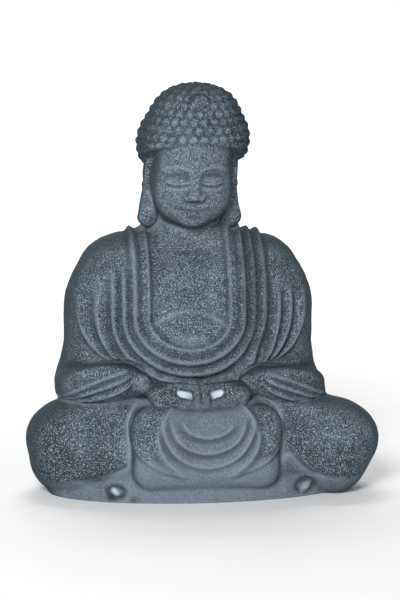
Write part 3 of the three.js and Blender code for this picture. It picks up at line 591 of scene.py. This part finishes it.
def surface_nets(values, xs, ys, zs):
    """A closed mesh of quads: one vertex in each cell that the surface crosses."""
    inside = values < 0
    cells = [n - 1 for n in values.shape]
    count = np.zeros(cells, np.uint8)
    for a, b, c in CORNERS:
        count += inside[a:a + cells[0], b:b + cells[1], c:c + cells[2]]
    i, j, k = np.nonzero((count > 0) & (count < 8))
    ids = np.full(cells, -1, np.int32)
    ids[i, j, k] = np.arange(len(i))
    value = [values[i + a, j + b, k + c] for a, b, c in CORNERS]
    place = [np.stack([xs[i + a], ys[j + b], zs[k + c]], 1) for a, b, c in CORNERS]
    total = np.zeros((len(i), 3))
    hits = np.zeros(len(i))
    for a, b in CELL_EDGES:
        crosses = (value[a] < 0) != (value[b] < 0)
        t = (value[a] / np.where(crosses, value[a] - value[b], 1))[:, None]
        total += np.where(crosses[:, None], place[a] + t * (place[b] - place[a]), 0)
        hits += crosses
    quads = []
    for axis in range(3):
        u, v = (axis + 1) % 3, (axis + 2) % 3
        a = np.moveaxis(inside, (axis, u, v), (0, 1, 2))
        cell = np.moveaxis(ids, (axis, u, v), (0, 1, 2))
        p, q, r = np.nonzero(a[:-1, 1:-1, 1:-1] != a[1:, 1:-1, 1:-1])
        quad = np.stack([cell[p, q, r], cell[p, q + 1, r], cell[p, q + 1, r + 1], cell[p, q, r + 1]], 1)
        leaves = a[p, q + 1, r + 1]
        quads.append(np.where(leaves[:, None], quad, quad[:, ::-1]))
    return total / hits[:, None], np.concatenate(quads)


def edges_of(quads):
    return np.concatenate([quads[:, (n, (n + 1) % 4)] for n in range(4)])


def neighbour_mean(values, edges):
    """The mean of each vertex's neighbours. Every edge stands in edges once each way."""
    counts = np.bincount(edges[:, 0], minlength=len(values))
    sums = [np.bincount(edges[:, 0], values[edges[:, 1], n], len(values)) for n in range(values.shape[1])]
    return np.stack(sums, 1) / counts[:, None]


def normals_of(points, quads):
    diagonals = points[quads[:, 2]] - points[quads[:, 0]], points[quads[:, 3]] - points[quads[:, 1]]
    across = np.cross(*diagonals)
    total = np.stack([
        sum(np.bincount(quads[:, c], across[:, n], len(points)) for c in range(4)) for n in range(3)
    ], 1)
    return total / np.maximum(np.linalg.norm(total, axis=1), 1e-12)[:, None]


def in_chunks(points):
    return np.concatenate([
        figure(*points[start:start + CHUNK].T) for start in range(0, len(points), CHUNK)
    ])


def carved_figure(settings):
    """Points in millimetres, quads, and what the stone's look depends on at each point."""
    cell = settings.cell / MM * 1
    fine = 0.72 * cell
    xs = grid_lines(-137.3, 139, cell, fine, -48, 46)
    ys = grid_lines(-92.3, 78, cell, fine, -88, -30)
    zs = grid_lines(-3.3, 309, cell, fine, 192, 305)
    points, quads = surface_nets(sample(xs, ys, zs), xs, ys, zs)
    edges = edges_of(quads)
    for _ in range(SETTLE_PASSES):
        points = 0.5 * (points + neighbour_mean(points, edges))
        points -= normals_of(points, quads) * np.clip(in_chunks(points), -1, 1)[:, None]
    normal = normals_of(points, quads)
    hollow = np.zeros(len(points))
    for reach in (5, 12):
        hollow += 0.5 * (1 - np.clip(in_chunks(points + normal * reach) / reach, 0, 1))
    looks = {
        # How squarely each point faces the front; the material paints shade where it turns away
        "front": smoothstep(-normal[:, 1], 0.2, 0.85),
        "hollow": hollow,
        "dust": dust(points, normal),
        # Shade painted on the hands, the hair's sides, under and beside the knees and in pits
        "painted_shade": painted_shade(points, normal),
        "worn_and_lit": worn_and_lit(points, normal),
        "pale": pale(points, normal),
    }
    x, y, z = points.T
    lines = face_lines(*in_head(from_middle(x, z), y, z)) * (z > HEAD_FROM)
    out = carving(x, y, z, normal, settings)[:, None]
    for _ in range(SOFTEN_PASSES):
        out = 0.5 * (out + neighbour_mean(out, edges))
    out[points[:, 2] < FOOT_BAND] = 0
    points = points + normal * out
    around = points
    for _ in range(round((RELIEF_REACH / cell) ** 2)):
        around = 0.5 * (around + neighbour_mean(around, edges))
    relief = np.sum((points - around) * normals_of(points, quads), axis=1)
    # Ridges, above zero, are painted pale as wear; creases, below zero, are painted as shade
    looks["ridge"] = np.clip(relief - ROUNDNESS + FACE_LINE_SHARE * lines, -1, 1)
    points = points + normal * weathering(points, settings)
    points[:, 2] = np.maximum(points[:, 2], 0)
    return points, quads, looks


def weathering(points, settings):
    """How uneven the casting is. It fades out at the flat underside."""
    x, y, z = points.T
    wear = 0.6 * value_noise(x, y, z, 9, seed=3) + 0.4 * value_noise(x, y, z, 3.5, seed=5)
    return (wear * smoothstep(z, FOOT_BAND, 4))[:, None] * settings.weathering / MM


def worn_and_lit(points, normal):
    """Where the cloth over the ankles, the base and the face are smoothed by wear, and where light is painted on the
    throat, from 0 to 1.
    """
    x, y, z = points.T
    front = smoothstep(-normal[:, 1], 0.1, 0.5)
    panel = (1 - smoothstep(oval(x, z, **TONGUE_PANEL), -1, 1)) * (1 - smoothstep(y, -70, -66))
    base = 1 - smoothstep(above_base(x, z), -2, 1)
    _, in_y, in_z = in_head(from_middle(x, z), y, z)
    bare_face = smoothstep(-in_y, 8, 18) * smoothstep(z, 200, 206) * smoothstep(above_hairline(in_y, in_z), 2, -2)
    # Painted light: the throat under the chin is paled against the shade that falls there
    throat = smoothstep(z, 176, 180) * (1 - smoothstep(z, 200, 204)) * (np.abs(x) < 30)
    return np.maximum(np.maximum(panel, base), np.maximum(0.5 * bare_face, 0.4 * throat)) * front


# Dusty corners above the cloth over the ankles, and how far each reaches
DUSTY_CORNERS = ((-46, 73), (29, 73))
CORNER_REACH = 6


def dust(points, normal):
    """Where pale dust lies: round the cloth over the ankles, on top of the base and low on the chest."""
    x, y, z = points.T
    front = smoothstep(-normal[:, 1], -0.2, 0.3)
    edge = bell((pad(x, y, z, *TONGUE.values()) - 2.6) / 1.5) * smoothstep(z, 22, 30) * smoothstep(np.abs(x), 38, 50)
    shelf = bell((above_base(x, z) + 1) / 2.5) * smoothstep(np.abs(x), 54, 58) * (1 - smoothstep(np.abs(x), 62, 78))
    base = (1 - smoothstep(above_base(x, z), -4, 0)) * (np.abs(x) < 60)
    corners = sum(bell(length(x - at_x, z - at_z) / CORNER_REACH) for at_x, at_z in DUSTY_CORNERS) * (y < -40)
    chest_x = from_middle(x, z) - CHEST_AT[0]
    (upper, upper_spread, _), (lower, lower_spread, _) = BUST_LINES
    arch = bell((z - upper + chest_x ** 2 / upper_spread) / 2.4) * (0.6 + 0.4 * smoothstep(np.abs(chest_x), 5, 20))
    foot = smoothstep(z - lower + chest_x ** 2 / lower_spread, 1.5, -1.5)
    opening = 1 - smoothstep(u_line(from_middle(x, z), y, z, *CHEST_OPEN), -3, 1)
    chest = (arch + 0.8 * foot) * opening * (y < 0) * (z > 105)
    return np.clip((edge + 0.7 * shelf + 0.6 * corners + 0.4 * chest + 0.25 * base) * front, 0, 1)


# Pale pebbles in the base, with the slope of their long side and how pale they are, and pits by them where shade is
# painted
PALE_PEBBLES = (
    {"at": (-66.6, 8.4), "r": (3.7, 1.9), "slope": -0.9, "pale": 0.7},
    {"at": (74.5, 6.8), "r": (5.6, 3), "slope": 0.75, "pale": 0.3},
)
DARK_PITS = ((-69.5, 4.5, 3.2), (-53, 2.6, 2.4))


def pebble_out(x, z, at, r, slope):
    """Distance, near enough, outside a pebble whose long side leans by this slope."""
    c, s = math.cos(slope), math.sin(slope)
    u, v = x - at[0], z - at[1]
    return oval(u * c + v * s, v * c - u * s, (0, 0), r)


def painted_shade(points, normal):
    """Where shade is painted: on the hands, the hair's sides, under the knees, beside them and in pits."""
    wx, y, z = points.T
    ax = np.abs(from_middle(wx, z))
    # Painted shade on the hands
    palms = (1 - smoothstep(hands(ax, y, z), 0.5, 2)) * (z < LAP_TOP)
    above = above_base(wx, z)
    # Painted shade under the knees, where they lift off the base
    knees = smoothstep(above, 0, 3) * (1 - smoothstep(above, 14, 34)) * smoothstep(np.abs(wx), 54, 70)
    # Painted shade down the outer side of the knee on the -x side, and at the sleeve's outer edge above it
    beside = smoothstep(-wx, 88, 112) * smoothstep(z, 6, 16) * (1 - smoothstep(z, 60, 76))
    sleeve = smoothstep(-wx, 84, 95) * smoothstep(z, 90, 110)
    # Painted shade on the sides of the hair
    temples = smoothstep(np.abs(wx + 7), 22, 32) * smoothstep(z, 236, 246)
    # A band of painted shade down the robe at x = 38 mm, on the side away from the key light
    robe_side_shade = bell((wx - 38) / 12) * smoothstep(z, 95, 115) * (1 - smoothstep(z, 175, 195)) * (y < 0)
    # Painted shade in the hollow round each pebble and in the pits beside it
    pit = bell(oval(np.abs(wx - PEBBLE["shift"]), z, PEBBLE["at"], PEBBLE["r"]) / 1.4)
    for at_x, at_z, reach in DARK_PITS:
        pit = np.maximum(pit, 2 * bell(length(wx - at_x, z - at_z) / reach))
    pit *= (y < -40) * (z < 20)
    cloth = 0.75 * knees + 1.3 * beside + 0.7 * sleeve + robe_side_shade
    return np.clip(0.65 * palms + cloth + temples + pit, 0, 1.4)


def pale(points, normal):
    """Where pale mortar fills the rings of the thumbs, and the pebbles."""
    wx, y, z = points.T
    ax = np.abs(from_middle(wx, z))
    ring = 1 - smoothstep(ellipsoid(ax, y, z, **RING_BACK), 0.4, 1.6)
    window = ring * smoothstep(-normal[:, 1], 0.3, 0.6) * (z > 73) * (z < 84)
    for pebble in PALE_PEBBLES:
        out = pebble_out(wx, z, pebble["at"], pebble["r"], pebble["slope"])
        window = np.maximum(window, pebble["pale"] * (1 - smoothstep(out, -1, 0.4)) * (y < -40))
    return window


def mesh_object(name, points, faces):
    """A mesh of equal-sided faces, smooth shaded."""
    sides = faces.shape[1]
    mesh = bpy.data.meshes.new(name)
    mesh.vertices.add(len(points))
    mesh.vertices.foreach_set("co", points.astype(np.float32).ravel())
    mesh.loops.add(faces.size)
    mesh.loops.foreach_set("vertex_index", faces.astype(np.int32).ravel())
    mesh.polygons.add(len(faces))
    mesh.polygons.foreach_set("loop_start", np.arange(len(faces), dtype=np.int32) * sides)
    mesh.polygons.foreach_set("use_smooth", np.ones(len(faces), bool))
    mesh.update(calc_edges=True)
    piece = bpy.data.objects.new(name, mesh)
    bpy.context.scene.collection.objects.link(piece)
    return piece


def set_attribute(piece, name, values):
    layer = piece.data.attributes.new(name, "FLOAT", "POINT")
    layer.data.foreach_set("value", values.astype(np.float32))


def apply_modifiers(piece):
    graph = bpy.context.evaluated_depsgraph_get()
    made = bpy.data.meshes.new_from_object(piece.evaluated_get(graph))
    piece.modifiers.clear()
    piece.data = made


# Materials
def add_node(tree, kind, inputs=None, **settings):
    """Adds a shader node. An input is a value, or another node's output."""
    node = tree.nodes.new(kind)
    for name, value in settings.items():
        setattr(node, name, value)
    for name, value in (inputs or {}).items():
        if isinstance(value, bpy.types.NodeSocket):
            tree.links.new(value, node.inputs[name])
        else:
            node.inputs[name].default_value = value
    return node


def ramp(tree, factor, low, high):
    """Goes from 0 to 1 while factor goes from low to high."""
    node = add_node(tree, "ShaderNodeMapRange", {
        "Value": factor, "From Min": low, "From Max": high}, interpolation_type="SMOOTHSTEP")
    return node.outputs["Result"]


def multiply(tree, a, b):
    node = add_node(tree, "ShaderNodeMath", operation="MULTIPLY")
    for socket, value in zip(node.inputs, (a, b)):
        if isinstance(value, bpy.types.NodeSocket):
            tree.links.new(value, socket)
        else:
            socket.default_value = value
    return node.outputs["Value"]


def mixed(tree, factor, a, b):
    """A colour between a and b."""
    node = tree.nodes.new("ShaderNodeMix")
    node.data_type = "RGBA"
    for socket, value in ((node.inputs[0], factor), (node.inputs[6], a), (node.inputs[7], b)):
        if isinstance(value, bpy.types.NodeSocket):
            tree.links.new(value, socket)
        else:
            socket.default_value = value
    return node.outputs[2]


def noise(tree, place, size, detail=2.0, roughness=0.5):
    node = add_node(tree, "ShaderNodeTexNoise", {
        "Vector": place, "Scale": 1 / size, "Detail": detail, "Roughness": roughness})
    return node.outputs["Fac"]


def rgba(colour):
    return (*colour, 1)


def stone_material(stone):
    """Dark cast stone mix: mottled, speckled with pale and dark grains, pitted, dusty in its hollows, with painted
    shade in its creases, at its sides, under the knees, on the hands and in pits.
    """
    material = bpy.data.materials.new("dark_stone_mix")
    material.use_nodes = True
    tree = material.node_tree
    tree.nodes.clear()
    place = add_node(tree, "ShaderNodeTexCoord").outputs["Object"]
    hollow = add_node(tree, "ShaderNodeAttribute", attribute_name="hollow").outputs["Fac"]
    worn_and_lit_part = add_node(tree, "ShaderNodeAttribute", attribute_name="worn_and_lit").outputs["Fac"]
    mortar = add_node(tree, "ShaderNodeAttribute", attribute_name="pale").outputs["Fac"]
    ridge = add_node(tree, "ShaderNodeAttribute", attribute_name="ridge").outputs["Fac"]
    front = add_node(tree, "ShaderNodeAttribute", attribute_name="front").outputs["Fac"]
    painted_shade_part = add_node(tree, "ShaderNodeAttribute", attribute_name="painted_shade").outputs["Fac"]
    dust_part = add_node(tree, "ShaderNodeAttribute", attribute_name="dust").outputs["Fac"]
    blotch = noise(tree, place, stone.grain * 16, 3.0, 0.55)
    patch = noise(tree, place, stone.grain * 4, 2.0, 0.5)
    grain = noise(tree, place, stone.grain, 3.0, 0.6)

    plain = ramp(tree, worn_and_lit_part, 1.0, 0.1)
    high = ramp(tree, ridge, 0.05, 0.7)
    # low: the creases, which are darkened as painted shade
    low = ramp(tree, ridge, -0.05, -0.7)
    quiet = multiply(tree, ramp(tree, high, 1.8, 0.0), ramp(tree, low, 1.6, 0.0))
    loud = multiply(tree, ramp(tree, plain, -0.8, 1.0), quiet)
    colour = mixed(tree, ramp(tree, blotch, 0.35, 0.68), rgba(stone.shade), rgba(stone.body))
    colour = mixed(tree, multiply(tree, ramp(tree, patch, 0.55, 0.75), 0.3), colour, rgba(stone.dust))
    # Pale worn stone, and the light painted on the throat
    colour = mixed(tree, multiply(tree, worn_and_lit_part, 0.62), colour, rgba(stone.worn_and_lit))
    colour = mixed(tree, multiply(tree, high, 0.4), colour, rgba(stone.dust))
    # Painted shade in the creases of the folds and of the face's lines
    colour = mixed(tree, multiply(tree, low, 0.4), colour, rgba(stone.dark_grain))
    # Painted shade on the hands, under the knees, at the sides and in pits
    colour = mixed(tree, multiply(tree, painted_shade_part, 0.7), colour, rgba(stone.painted_shade))
    dark = multiply(tree, ramp(tree, grain, 0.48, 0.38), loud)
    colour = mixed(tree, multiply(tree, dark, 0.85), colour, rgba(stone.dark_grain))
    pale = multiply(tree, ramp(tree, grain, 0.54, 0.64), loud)
    colour = mixed(tree, multiply(tree, pale, 0.9), colour, rgba(stone.pale_grain))
    dusty = multiply(tree, ramp(tree, hollow, 0.3, 0.85), ramp(tree, patch, 0.2, 0.55))
    # Painted shade: surfaces that turn away from the front are darkened towards the painted shade colour
    colour = mixed(tree, multiply(tree, ramp(tree, front, 1.0, 0.0), 0.85), colour, rgba(stone.painted_shade))
    colour = mixed(tree, multiply(tree, dusty, 0.4), colour, rgba(stone.dust))
    colour = mixed(tree, multiply(tree, dust_part, 0.7), colour, rgba(stone.dust))
    colour = mixed(tree, mortar, colour, rgba(stone.mortar))

    bump = add_node(tree, "ShaderNodeBump", {"Strength": 0.8, "Height": grain})
    bump.inputs["Distance"].default_value = stone.relief
    shader = add_node(tree, "ShaderNodeBsdfPrincipled", {
        "Base Color": colour, "Normal": bump.outputs["Normal"], "Roughness": stone.roughness,
        "Specular IOR Level": 0.1})
    output = add_node(tree, "ShaderNodeOutputMaterial")
    tree.links.new(shader.outputs["BSDF"], output.inputs["Surface"])
    return material


def backdrop_material(colour):
    material = bpy.data.materials.new("pale_backdrop")
    material.use_nodes = True
    shader = material.node_tree.nodes["Principled BSDF"]
    shader.inputs["Base Color"].default_value = rgba(colour)
    shader.inputs["Roughness"].default_value = 0.9
    return material


# Settings
class StatueSettings(bpy.types.PropertyGroup):
    cell: FloatProperty(
        name="Mesh cell", description="Spacing of the fine mesh before it is thinned",
        default=0.0011, min=0.0005, unit="LENGTH")
    triangles: IntProperty(
        name="Triangles", description="The mesh is thinned to this many triangles",
        default=192000, min=20000, max=199000)
    fold_depth: FloatProperty(
        name="Fold depth", description="How deep the robe is carved, as a share of the usual depth",
        default=1.0, min=0.0, max=1.5)
    curl_pitch: FloatProperty(
        name="Curl width", description="Distance between the curls of a row", default=0.0078, unit="LENGTH")
    curl_row: FloatProperty(
        name="Curl rows", description="Distance between the rows of curls", default=0.0068, unit="LENGTH")
    curl_height: FloatProperty(
        name="Curl height", description="How far a curl stands up", default=0.0023, unit="LENGTH")
    weathering: FloatProperty(
        name="Weathering", description="How uneven the cast surface is", default=0.0003, unit="LENGTH")


class StoneSettings(bpy.types.PropertyGroup):
    body: FloatVectorProperty(
        name="Stone", description="Colour of the stone mix", subtype="COLOR", size=3,
        default=(0.101, 0.14, 0.181))
    shade: FloatVectorProperty(
        name="Darker patches", description="Colour of the darker patches", subtype="COLOR", size=3,
        default=(0.056, 0.082, 0.108))
    # Colour of the painted shade
    painted_shade: FloatVectorProperty(
        name="Painted shade", description="Colour of the shade painted at the sides, under the knees, on the hands and in pits",
        subtype="COLOR", size=3, default=(0.029, 0.045, 0.056))
    # Colour of the worn stone, also used as the light painted on the throat
    worn_and_lit: FloatVectorProperty(
        name="Worn stone and throat light", description="Colour where the stone is smoothed by wear, and of the light painted on the throat", subtype="COLOR", size=3,
        default=(0.165, 0.205, 0.255))
    dark_grain: FloatVectorProperty(
        name="Dark grains", description="Colour of the dark grains and pits", subtype="COLOR", size=3,
        default=(0.012, 0.018, 0.028))
    pale_grain: FloatVectorProperty(
        name="Pale grains", description="Colour of the pale grains", subtype="COLOR", size=3,
        default=(0.36, 0.43, 0.5))
    dust: FloatVectorProperty(
        name="Dust", description="Colour of the dust in the hollows", subtype="COLOR", size=3,
        default=(0.27, 0.34, 0.42))
    mortar: FloatVectorProperty(
        name="Mortar", description="Colour of the mortar in the hands' rings, and of the pale pebble",
        subtype="COLOR", size=3, default=(0.6, 0.7, 0.8))
    grain: FloatProperty(
        name="Grain size", description="Size of the grains in the mix", default=0.0009, unit="LENGTH")
    relief: FloatProperty(
        name="Grain relief", description="How far the grains stand up", default=0.0005, unit="LENGTH")
    roughness: FloatProperty(
        name="Roughness", description="How dull the stone is", default=0.78, min=0.0, max=1.0)


class StudioSettings(bpy.types.PropertyGroup):
    backdrop: FloatVectorProperty(
        name="Backdrop", description="Colour of the floor and the wall behind", subtype="COLOR", size=3,
        default=(0.92, 0.92, 0.92))
    key_power: FloatProperty(
        name="Key light", description="Power of the light by the camera", default=19.0, unit="POWER")
    back_power: FloatProperty(
        name="Back light", description="Power of the light behind the figure", default=3.0, unit="POWER")
    wall_power: FloatProperty(
        name="Wall light", description="Power of the light on the wall behind", default=65.0, unit="POWER")
    sky: FloatProperty(
        name="Sky", description="Strength of the even light from all round", default=0.1, min=0.0)
    azimuth: FloatProperty(
        name="Azimuth", description="Camera's direction round the figure", subtype="ANGLE",
        default=math.radians(-6.5))
    elevation: FloatProperty(
        name="Elevation", description="Camera's height over the horizon", subtype="ANGLE",
        default=math.radians(5.9))
    distance: FloatProperty(
        name="Distance", description="Camera's distance from the figure", default=1.27, unit="LENGTH")
    lens: FloatProperty(
        name="Lens", description="Focal length on a 36 mm frame, in millimetres", default=102.1)


# Where the photograph's frame has the middle of the view, in pixels of its 400 by 600 picture
FRAME_WIDE, FRAME_TALL = 400, 600
VIEW_X, VIEW_Y = 199, 283.6
VIEW_Z = 0.15


class BUDDHA_OT_statue(bpy.types.Operator):
    """Adds the seated figure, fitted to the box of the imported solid"""
    bl_idname = "buddha.statue"
    bl_label = "Add the statue"

    def execute(self, context):
        settings = context.scene.buddha_statue
        points, quads, looks = carved_figure(settings)
        low, high = points.min(0), points.max(0)
        cad_low, cad_high = np.array(CAD_LOW), np.array(CAD_HIGH)
        points = cad_low + (points - low) * (cad_high - cad_low) / (high - low)
        statue = mesh_object(NODE + "_stone", points, quads)
        for name, values in looks.items():
            set_attribute(statue, name, values)
        thinner = statue.modifiers.new("thinner", "DECIMATE")
        thinner.ratio = min(1, settings.triangles / (2 * len(quads)))
        apply_modifiers(statue)
        statue.data.materials.append(stone_material(context.scene.buddha_stone))
        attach(statue, "root")
        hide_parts(NODE)
        return {"FINISHED"}


class BUDDHA_OT_studio(bpy.types.Operator):
    """Adds the pale floor and wall, the soft light and the camera"""
    bl_idname = "buddha.studio"
    bl_label = "Add the studio"

    def execute(self, context):
        studio = context.scene.buddha_studio
        self.backdrop(studio)
        self.light(context, studio)
        self.camera(context, studio)
        return {"FINISHED"}

    def backdrop(self, studio):
        """A round floor that curves up into a wall on every side."""
        bend_from, bend_radius, top, steps, sides = 2.2, 0.8, 2.4, 16, 64
        turn = np.linspace(0, math.pi / 2, steps)
        radii = np.append(bend_from + bend_radius * np.sin(turn), bend_from + bend_radius)
        heights = np.append(bend_radius * (1 - np.cos(turn)), top)
        round_z = np.linspace(0, 2 * math.pi, sides, endpoint=False)
        points = [(0, 0, 0)]
        for radius, height in zip(radii, heights):
            points += [(radius * math.sin(a), radius * math.cos(a), height) for a in round_z]
        first = 1 + np.arange(sides)
        after = 1 + (np.arange(sides) + 1) % sides
        middle = np.zeros(sides, int)
        faces = [np.stack([middle, after, first], 1)]
        for ring in range(steps):
            low, high = ring * sides, (ring + 1) * sides
            faces.append(np.stack([first + low, after + low, after + high], 1))
            faces.append(np.stack([first + low, after + high, first + high], 1))
        floor = mesh_object("backdrop", np.array(points), np.concatenate(faces))
        floor.data.materials.append(backdrop_material(studio.backdrop))
        return floor

    def light(self, context, studio):
        context.scene.view_settings.view_transform = "Standard"
        world = bpy.data.worlds.new("studio")
        world.use_nodes = True
        world.node_tree.nodes["Background"].inputs["Color"].default_value = (1, 1, 1, 1)
        world.node_tree.nodes["Background"].inputs["Strength"].default_value = studio.sky
        context.scene.world = world
        key_at = self.from_centre(studio.azimuth - 0.22, studio.elevation + 0.36, 1.5)
        back_at = self.from_centre(studio.azimuth + math.pi, 0.42, 1.7)
        self.lamp(context, "key", key_at, (0, 0, VIEW_Z), 0.5, studio.key_power)
        self.lamp(context, "back", back_at, (0, 0, VIEW_Z), 0.8, studio.back_power)
        self.lamp(context, "wall_wash", (0, 1.2, 2.4), (0, 3, 0.6), 1.6, studio.wall_power)

    def lamp(self, context, name, at, aim, size, power):
        lamp = bpy.data.lights.new(name, "AREA")
        lamp.shape = "DISK"
        lamp.size = size
        lamp.energy = power
        placed = bpy.data.objects.new(name, lamp)
        placed.location = at
        placed.rotation_euler = (placed.location - Vector(aim)).to_track_quat("Z", "Y").to_euler()
        context.scene.collection.objects.link(placed)

    def camera(self, context, studio):
        lens = bpy.data.cameras.new("camera")
        lens.lens = studio.lens
        lens.sensor_width = 36
        lens.shift_x = (FRAME_WIDE / 2 - VIEW_X) / FRAME_TALL
        lens.shift_y = (VIEW_Y - FRAME_TALL / 2) / FRAME_TALL
        camera = bpy.data.objects.new("camera", lens)
        camera.location = self.from_centre(studio.azimuth, studio.elevation, studio.distance)
        camera.rotation_euler = (camera.location - Vector((0, 0, VIEW_Z))).to_track_quat("Z", "Y").to_euler()
        context.scene.collection.objects.link(camera)
        context.scene.camera = camera

    def from_centre(self, azimuth, elevation, distance):
        level = math.cos(elevation)
        away = Vector((math.sin(azimuth) * level, -math.cos(azimuth) * level, math.sin(elevation)))
        return Vector((0, 0, VIEW_Z)) + away * distance


class BUDDHA_PT_panel(bpy.types.Panel):
    """Sizes, colours and light of the seated figure"""
    bl_idname = "BUDDHA_PT_panel"
    bl_label = "Seated Buddha"
    bl_space_type = "VIEW_3D"
    bl_region_type = "UI"
    bl_category = "Buddha"

    def draw(self, context):
        groups = (
            (BUDDHA_OT_statue.bl_idname, context.scene.buddha_statue),
            (None, context.scene.buddha_stone),
            (BUDDHA_OT_studio.bl_idname, context.scene.buddha_studio),
        )
        for operator, settings in groups:
            column = self.layout.column()
            for name in settings.__annotations__:
                column.prop(settings, name)
            if operator:
                column.operator(operator)


CLASSES = (StatueSettings, StoneSettings, StudioSettings, BUDDHA_OT_statue, BUDDHA_OT_studio, BUDDHA_PT_panel)


def register():
    for item in CLASSES:
        bpy.utils.register_class(item)
    bpy.types.Scene.buddha_statue = PointerProperty(type=StatueSettings)
    bpy.types.Scene.buddha_stone = PointerProperty(type=StoneSettings)
    bpy.types.Scene.buddha_studio = PointerProperty(type=StudioSettings)


def unregister():
    del bpy.types.Scene.buddha_studio
    del bpy.types.Scene.buddha_stone
    del bpy.types.Scene.buddha_statue
    for item in reversed(CLASSES):
        bpy.utils.unregister_class(item)


def main():
    register()
    bpy.ops.buddha.statue()
    bpy.ops.buddha.studio()
    bpy.context.view_layer.update()


if __name__ == "__main__":
    main()
